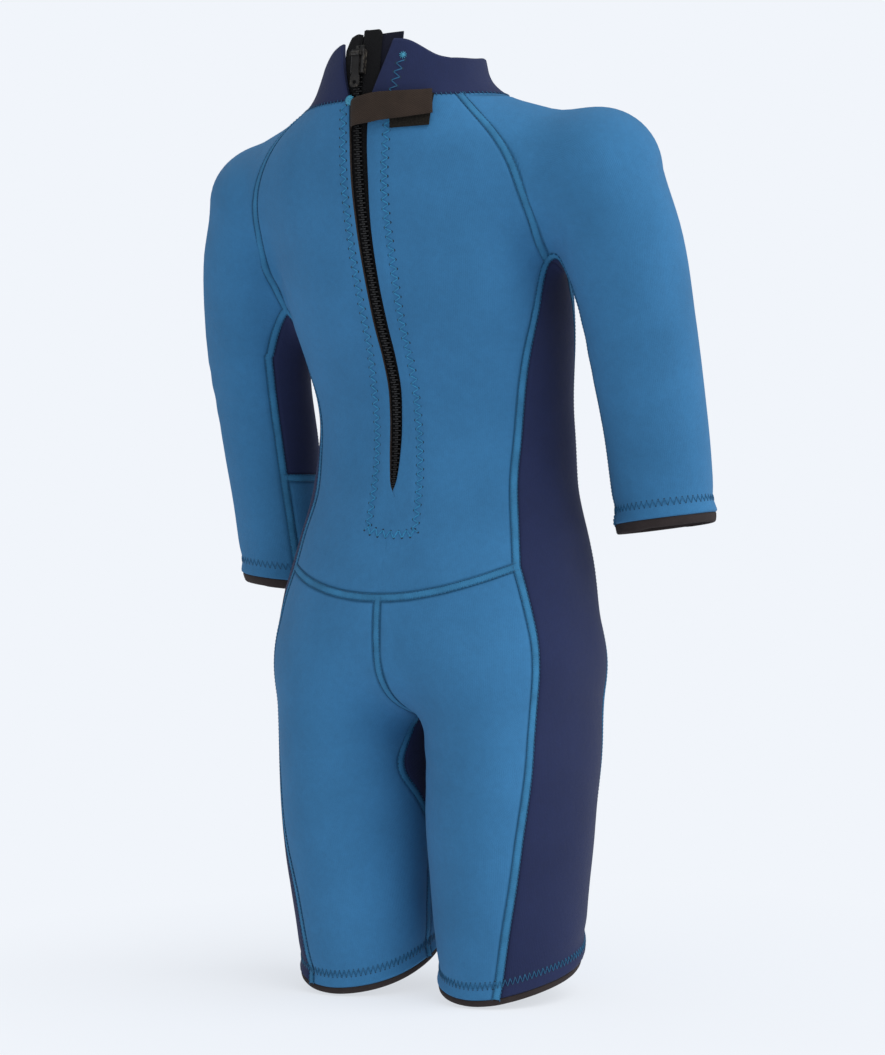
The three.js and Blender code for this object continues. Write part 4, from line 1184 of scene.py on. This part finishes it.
def threads(start, end, normal, radius, arch, base=0.0):
    """Short lengths of sewing thread, each a plump strand that dips into the cloth at its ends."""
    count, rings = len(start), len(RING_AT)
    along = unit(end - start)
    side = unit(np.cross(along, normal))
    rise = base + arch * (1 - (2 * RING_AT - 1) ** 4)
    middle = start[:, None] + (end - start)[:, None] * RING_AT[None, :, None]
    middle = middle + normal[:, None] * rise[None, :, None]
    turn = np.arange(4) * math.pi / 2 + math.pi / 4
    out = (side[:, None, None] * np.cos(turn)[None, None, :, None]
           + normal[:, None, None] * np.sin(turn)[None, None, :, None])
    p = middle[:, :, None] + out * (radius * RING_SIZE)[None, :, None, None]
    block = np.concatenate([grid_faces(rings, 4, True), [[0, 1, 2, 3]], [[3, 2, 1, 0]]])
    block[-1] += (rings - 1) * 4
    faces = (block[None] + (np.arange(count) * rings * 4)[:, None, None]).reshape(-1, 4)
    return p.reshape(-1, 3), faces, np.zeros((count * rings * 4, 2))


def holes(centre, normal, radius):
    """Needle holes: small dark discs on the cloth, painted shade of the pits where the thread goes through."""
    count = len(centre)
    side = unit(np.cross(normal, np.array([0.3, 0.2, 1.0])))
    up = np.cross(normal, side)
    turn = np.arange(7) * 2 * math.pi / 7
    round_eye = side[:, None] * np.cos(turn)[None, :, None] + up[:, None] * np.sin(turn)[None, :, None]
    rim = centre[:, None] + radius * round_eye
    p = np.concatenate([rim, (centre + normal * 0.14)[:, None], (centre - normal * 0.6)[:, None]], 1)
    ring = np.arange(7)
    block = np.concatenate([np.stack([ring, (ring + 1) % 7, ring * 0 + 7], -1),
                            np.stack([(ring + 1) % 7, ring, ring * 0 + 8], -1)])
    faces = (block[None] + (np.arange(count) * 9)[:, None, None]).reshape(-1, 3)
    return p.reshape(-1, 3), faces, np.zeros((count * 9, 2))


def seam_run(points, breaks=(), step=0.9):
    return on_skin(curve(points, breaks, step), 2)


flat_seams = []
for side in SIDES:
    s, sleeve = seams[side], sleeves[side]
    flat_seams += [(s["raglan_back"], ()), (s["raglan_front"], ()), (s["side_back"], SIDE_BREAKS),
                   (s["side_front"], SIDE_BREAKS), (sleeve[:, 0], (GUSSET_ROW,)),
                   (sleeve[:, OUTER_COLUMNS], (GUSSET_ROW,)), (sleeve[GUSSET_ROW, OUTER_COLUMNS:], ()),
                   (legs[side, 1][CROTCH_ROW:, 0], (3,)),
                   (legs[side, -1][CROTCH_ROW:CROTCH_ROW + 4, 0], ())]
for facing, half in ((1, back_half), (-1, chest_half)):
    flat_seams.append((np.concatenate([half[-1][-1][::-1], half[1][-1][1:]]), (HALF_COLUMNS,)))
    flat_seams.append((legs[1, facing][:CROTCH_ROW + 1, 0], ()))

RIBBON = [(-2.45, -0.66), (-2.1, -0.22), (-1.2, 0.0), (0, 0.05), (1.2, 0.0), (2.1, -0.22), (2.45, -0.66),
          (1.6, -1.5), (-1.6, -1.5)]
ribbons, stitches = [], []
for k, (points, breaks) in enumerate(flat_seams):
    line, normal = seam_run(points, breaks)
    line = line + normal * (0.03 * (k % 4))
    ribbons.append(sweep(line, normal, RIBBON, 0.035))
    beads = even(line, STITCH_PITCH)
    bead_normal = unit(gradient(beads))
    ahead = tangents(beads)
    across = unit(np.cross(ahead, bead_normal))
    for way in SIDES:
        centre = beads + across * way * STITCH_OUT - bead_normal * 0.40
        reach = ahead * (STITCH_PITCH * 0.40) + across * way * 0.16
        stitches.append(threads(centre - reach, centre + reach, bead_normal, 0.36, 0.3))
one_piece("neoprene_seams", ribbons, [FLATLOCK])
one_piece("seam_stitches", stitches, [DEEP_THREAD])

ticks = []
for side in SIDES:
    line, normal = seam_run(collars[side][0], COLLAR_BREAKS, COLLAR_STITCH_PITCH)
    across = unit(np.cross(tangents(line), normal))
    lean = across * 1.5 + tangents(line) * 0.35
    ticks.append(threads(line - lean, line + lean, normal, 0.3, 0.25, -0.1))
line, normal = seam_run(collars[1][:, -1], (), COLLAR_STITCH_PITCH)
across = unit(np.cross(tangents(line), normal))
ticks.append(threads(line - across * 1.5, line + across * 1.5, normal, 0.3, 0.25, -0.1))
one_piece("collar_seam_stitches", ticks, [DEEP_THREAD])

ZIGZAG_HALF = 2.65
ZIGZAG_STEP = 3.2


def zigzag(low, high, normals, strand, hole):
    """Threads between alternate points of two rows, with a needle hole at every turn."""
    count = len(low)
    corners = np.where((np.arange(count) % 2 == 0)[:, None], low, high)
    sewn = threads(corners[:-1], corners[1:], unit(normals[:-1] + normals[1:]), strand, 0.32, -0.12)
    return sewn, holes(corners, normals, hole)


def zip_row(points):
    flat = np.array([(x, 0, z) for x, z in points], float)
    run = even(spline(flat, np.linspace(0, len(flat) - 1, 200)), ZIGZAG_STEP)
    across = np.cross(tangents(run), (0, 1, 0)) * ZIGZAG_HALF
    rows = []
    for way in SIDES:
        p = run + across * way
        skin, normal = on_skin(skin_behind(p[:, 0], p[:, 2]), 1)
        rows.append(skin)
    return zigzag(rows[0], rows[1], normal, 0.5, 0.98)


def ring_at(side, h, count):
    """Points round a sleeve at a height over its hem line."""
    z = SLEEVE_HEM_Z[side] + h
    return on_skin(arm_ring(side, z, SLEEVE_HEM_TILT, np.linspace(0, 2 * math.pi, count, endpoint=False)), 1)


def leg_loop(side, count):
    """The leg opening, round the inner thigh, back, side and front, at even steps."""
    back, front = legs[side, 1][-1], legs[side, -1][-1]
    under = side_grids[side][-1]
    loop = np.concatenate([along(back, np.linspace(0, 6, 90)), along(under, np.linspace(0, 3, 50)),
                           along(front, np.linspace(0, 6, 90))[::-1]])
    return spaced(loop, count, closed=True)


def leg_ring(side, h, count):
    return on_skin(settle(leg_loop(side, count) + (0, 0, h), 4), 1)


bright, sewn, eyes = [], [], []
for points, sort in ((ZIP_LEFT, bright), (ZIP_RIGHT, bright), (ZIP_FOOT, bright), (COLLAR_ROW, sewn)):
    thread, hole = zip_row(points)
    sort.append(thread)
    eyes.append(hole)
for side in SIDES:
    for ring, low, high, count in ((ring_at, 8, 12.5, 108), (leg_ring, 7.4, 12.6, 192)):
        (lower, normal), (upper, _) = (ring(side, h, count) for h in (low, high))
        thread, hole = zigzag(*(np.concatenate([row, row[:1]]) for row in (lower, upper, normal)), 0.34, 0.6)
        sewn.append(thread)
        eyes.append(hole)
one_piece("zip_zigzag", bright, [BLUE_THREAD])
one_piece("hem_zigzag", sewn, [DEEP_THREAD])
one_piece("needle_holes", eyes, [HOLE_SHADE])


def knot(x, z, size, strand, strands, lift):
    """A bar tack: threads crossing over one point."""
    centre, normal = on_skin(skin_behind(np.array([x]), np.array([z])), 1)
    side = unit(np.cross(normal, np.array([[0, 0, 1.0]])))
    up = np.cross(normal, side)
    turn = np.arange(strands)[:, None] * math.pi / strands + 0.2
    reach = size / 2 * (side * np.cos(turn) + up * np.sin(turn))
    base = np.repeat(centre, strands, 0)
    normals = np.repeat(normal, strands, 0)
    return threads(base - reach, base + reach, normals, strand, lift, -0.1)


one_piece("bar_tacks", [knot(-5.5, 637, 7.6, 1.05, 6, 1.0), knot(-5.5, 637, 5.2, 0.9, 5, 1.7),
                        knot(34, 666, 5.6, 0.42, 5, 0.5), knot(34, 666, 2.6, 0.6, 4, 0.8)],
          [KNOT_THREAD])

# ------------------------------------------------------------------ hem bands
def band_section(width):
    """(height over the hem line, depth under the skin), round the turned lining."""
    return [(-0.2, 1.1), (-1.2, 0.8), (-width * 0.5, 0.55), (-width + 1.3, 0.55), (-width + 0.35, 1.0),
            (-width, 1.8), (-width + 0.35, 2.7), (-width + 1.4, 3.15), (-width * 0.4, 3.2), (-0.2, 3.2)]


def band(name, ring, section, node):
    """A closed band round an opening."""
    grid = []
    for h, depth in section:
        p, n = ring(h)
        grid.append(p - n * depth)
    rows, cols = len(grid), len(grid[0])
    i, j = np.meshgrid(np.arange(rows), np.arange(cols), indexing="ij")
    down, right = (i + 1) % rows, (j + 1) % cols
    faces = np.stack([i * cols + j, down * cols + j, down * cols + right, i * cols + right], -1).reshape(-1, 4)
    vertices = np.concatenate(grid)
    if volume_of(vertices - vertices.mean(0), faces) < 0:
        faces = faces[:, ::-1]
    girth = np.linspace(0, cols * 1.6, cols)[None]
    cloth = np.stack(np.broadcast_arrays(girth, np.cumsum(np.full(rows, 1.3))[:, None]), -1).reshape(-1, 2)
    one_piece(name, [(vertices, faces, cloth)], [BINDING], nodes=[node])


for side in SIDES:
    name = side_name(side)
    band("sleeve_hem_band_" + name, lambda h: ring_at(side, h, 150), band_section(SLEEVE_BAND), "sleeve_hem_" + name)
    band("leg_hem_band_" + name, lambda h: leg_ring(side, h, 230), band_section(LEG_BAND), "leg_hem_" + name)

# ------------------------------------------------------------------ zip
def under_skin(x, z, depth):
    """Points at a depth under the back, smooth across the zip opening."""
    p = skin_behind(x, z)
    return p - unit(gradient(p)) * np.asarray(depth)[..., None]


def layer(name, x, z, depth, thickness, looks, slot, body="suit", nodes=()):
    """A thin closed layer over a grid of places, at a depth under the skin."""
    x, z = np.broadcast_arrays(np.asarray(x, float), z)
    depth = np.broadcast_to(np.asarray(depth, float), x.shape)
    outer, inner = under_skin(x, z, depth), under_skin(x, z, depth + thickness)
    cloth = np.stack([x, z], -1).reshape(-1, 2)
    made = thick(name, outer.reshape(-1, 3), inner.reshape(-1, 3), grid_faces(*x.shape), looks, None, cloth, body,
                 nodes)
    return made


TAPE_TOP = {1: [(0, 687), (14, 687), (16, 684)], -1: [(0, 684), (6, 685), (11, 683), (13, 680), (16, 674)]}
for side in SIDES:
    out = np.array([0.5, 1.4, 2.4, 3.4, 5, 7, 9, 11, 13, 14.5, 16])
    top = np.interp(out, *np.array(TAPE_TOP[side], float).T)
    share = np.linspace(0, 1, 150)[:, None]
    z = top[None] + (ZIP_END_Z - 7 - top[None]) * share
    x = side * out[None] + profile(CHAIN_SWAY, z)
    ridge = 0.9 * np.exp(-((out - 3.2) / 1.3) ** 2)
    layer("zip_tape_weave_" + side_name(side), x, z, 3.75 - ridge[None] + 0 * z, 0.8, [TAPE_CLOTH], "zip_tape",
          nodes=["zip_tape_" + side_name(side)])

t = np.linspace(0, 1, 25)[None]
share = np.linspace(0, 1, 90)[:, None]
foot = ZIP_END_Z - 14
wide = smooth_step(foot + (ZIP_TOP_Z - foot) * (1 - share), 610, 660)
x = -22 + wide + (44 + 9 * wide) * t
top = np.interp(x[0], [-21, -15, -9, 34], [666, 670, 683, 685])
# The backing uses the darkened knit, which paints the shade behind the zip.
layer("zip_backing_neoprene", x, top[None] + (foot - top[None]) * share, 5.5 + 0 * t, 1.6,
      [SHADED_BACKING_KNIT, NAVY_EDGE, LINING_KNIT], "neoprene_navy", nodes=["zip_backing_flap"])

TOOTH_STEP = 1.62
TOOTH_FOOT_Z = 366
TOOTH_TOP_Z = ZIP_TOP_Z - 5
TOOTH = [(-1.35, 0.30), (-1.1, 0.62), (-0.55, 0.76), (0.05, 0.60), (0.5, 0.42), (2.9, 0.50), (3.3, 0.34)]


def teeth():
    """Both rows of moulded teeth: each reaches past the middle, heads between the other row's."""
    outline = np.array(TOOTH + [(x, -h) for x, h in TOOTH[::-1]])
    shrink = [(0.72, 0.75), (1, 1.05), (1, 2.6), (0.8, 3.0)]
    parts = {1: [], -1: []}
    for k in range(int((TOOTH_TOP_Z - TOOTH_FOOT_Z) / TOOTH_STEP)):
        z = TOOTH_FOOT_Z + k * TOOTH_STEP
        side = 1 if k % 2 else -1
        sway = float(profile(CHAIN_SWAY, z))
        base = np.array([sway, float(back_line(z)), z])
        normal = -unit(np.array([0.0, 1.0, -float(back_line(z + 0.5) - back_line(z - 0.5))]))
        up = np.cross((1, 0, 0), normal)
        up = up * np.sign(up[2])
        p = np.concatenate([
            base + np.outer(side * outline[:, 0] * (1 if scale == 1 else scale + 0.12), (1, 0, 0))
            + np.outer(outline[:, 1] * scale, up) - normal * depth for scale, depth in shrink])
        cols = len(outline)
        faces = [*grid_faces(4, cols, True), np.arange(cols)[::-1], np.arange(cols) + 3 * cols]
        if side > 0:
            faces = [f[::-1] for f in faces]
        parts[side].append((p, faces, np.zeros((len(p), 2))))
    return parts


for side, parts in teeth().items():
    one_piece("zip_tooth_row_" + side_name(side), parts, [TOOTH_PLASTIC],
              nodes=["zip_teeth_" + side_name(side)], sharp=35)

# ------------------------------------------------------------------ neck strap
# Place along the strap, how far its underside stands off the back.
STRAP_PATH = np.array([(-6.5, -3.0), (-5.2, -2.0), (-3.8, 0.0), (-1.5, 2.4), (1.5, 3.9), (6, 4.7), (14, 4.6),
                       (24, 4.2), (40, 4.1), (56, 4.3)], float)
STRAP_START, STRAP_END = -6.5, 54
STRAP_MIDDLE = [(-6, 627), (4, 628.5), (20, 630.5), (57, 631.6)]  # place along the strap, height
STRAP_HALF = [(-6, 9.0), (6, 9.6), (14, 10), (57, 8.6)]  # place along the strap, half its width


def strap():
    """Webbing that leaves the zip opening, bends flat and tapers to a slanted cut end."""
    xs = np.concatenate([np.linspace(STRAP_START, 8, 22), np.linspace(9.2, STRAP_END, 44)])
    x, v = np.meshgrid(xs, np.linspace(-1, 1, 15), indexing="ij")
    x = x - 1.8 * v * np.clip((x - 30) / 20, 0, 1)
    z = np.interp(x, *zip(*STRAP_MIDDLE)) + np.interp(x, *zip(*STRAP_HALF)) * v
    lift = profile(STRAP_PATH, x) + 0.3 * np.sin(x / 9 + v) * (x > 8)
    edge = np.maximum(np.abs(v) - 0.9, 0) / 0.1
    end = np.clip((xs[:, None] - STRAP_END + 0.9) / 0.9, 0, 1)
    thickness = 1.5 - 0.5 * edge
    top = lift + thickness - 0.25 * end
    outer, inner = under_skin(x, z, -top), under_skin(x, z, -(lift + 0.25 * edge))
    cloth = np.stack([v * 10, x], -1).reshape(-1, 2)
    made = thick("neck_strap_webbing", outer.reshape(-1, 3), inner.reshape(-1, 3), grid_faces(*x.shape),
                 [WEBBING_CLOTH], None, cloth, None, ["neck_strap"])
    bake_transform(made)


strap()
x = np.linspace(-25, -5.6, 18)[:, None]
z = np.linspace(618, 636, 12)[None]
layer("strap_root_webbing", x, z, 3.02 + 0 * z + 0 * x, 0.7, [WEBBING_CLOTH], "webbing", nodes=["strap_root"])
x = np.linspace(27, 54, 30)[:, None]
t = np.linspace(0, 1, 20)[None]
layer("loop_patch_pile", x, 614.8 + 0.02 * x + (637 - 614.8) * t, -2.2 + 0 * t, 1.1, [LOOPS, UNDER_WEBBING],
      "hook_and_loop", nodes=["loop_patch"])
layer("hook_patch_pile", 31 + (51 - 31) * np.linspace(0, 1, 22)[:, None], 623 + 15 * t, -4.0 + 0 * t, 1.3,
      [HOOKS, UNDER_WEBBING], "hook_and_loop", "strap", ["hook_patch"])

# ------------------------------------------------------------------ hard parts kept from the CAD frame
for name, look in (("zip_slider", SLIDER_ENAMEL), ("pull_tab", SLIDER_ENAMEL), ("zip_bottom_stop", TOOTH_PLASTIC),
                   ("zip_top_stop_right", TOOTH_PLASTIC), ("zip_top_stop_left", TOOTH_PLASTIC)):
    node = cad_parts[name]
    node.data.materials.clear()
    node.data.materials.append(look)
    node.data.polygons.foreach_set("use_smooth", np.ones(len(node.data.polygons), bool))
    node.data.set_sharp_from_angle(angle=math.radians(32))
    soften = node.modifiers.new("soften", "BEVEL")
    soften.width, soften.segments, soften.limit_method, soften.angle_limit = 0.0002, 2, "ANGLE", math.radians(40)

for made, grids in sheets:
    declare(made, grids)
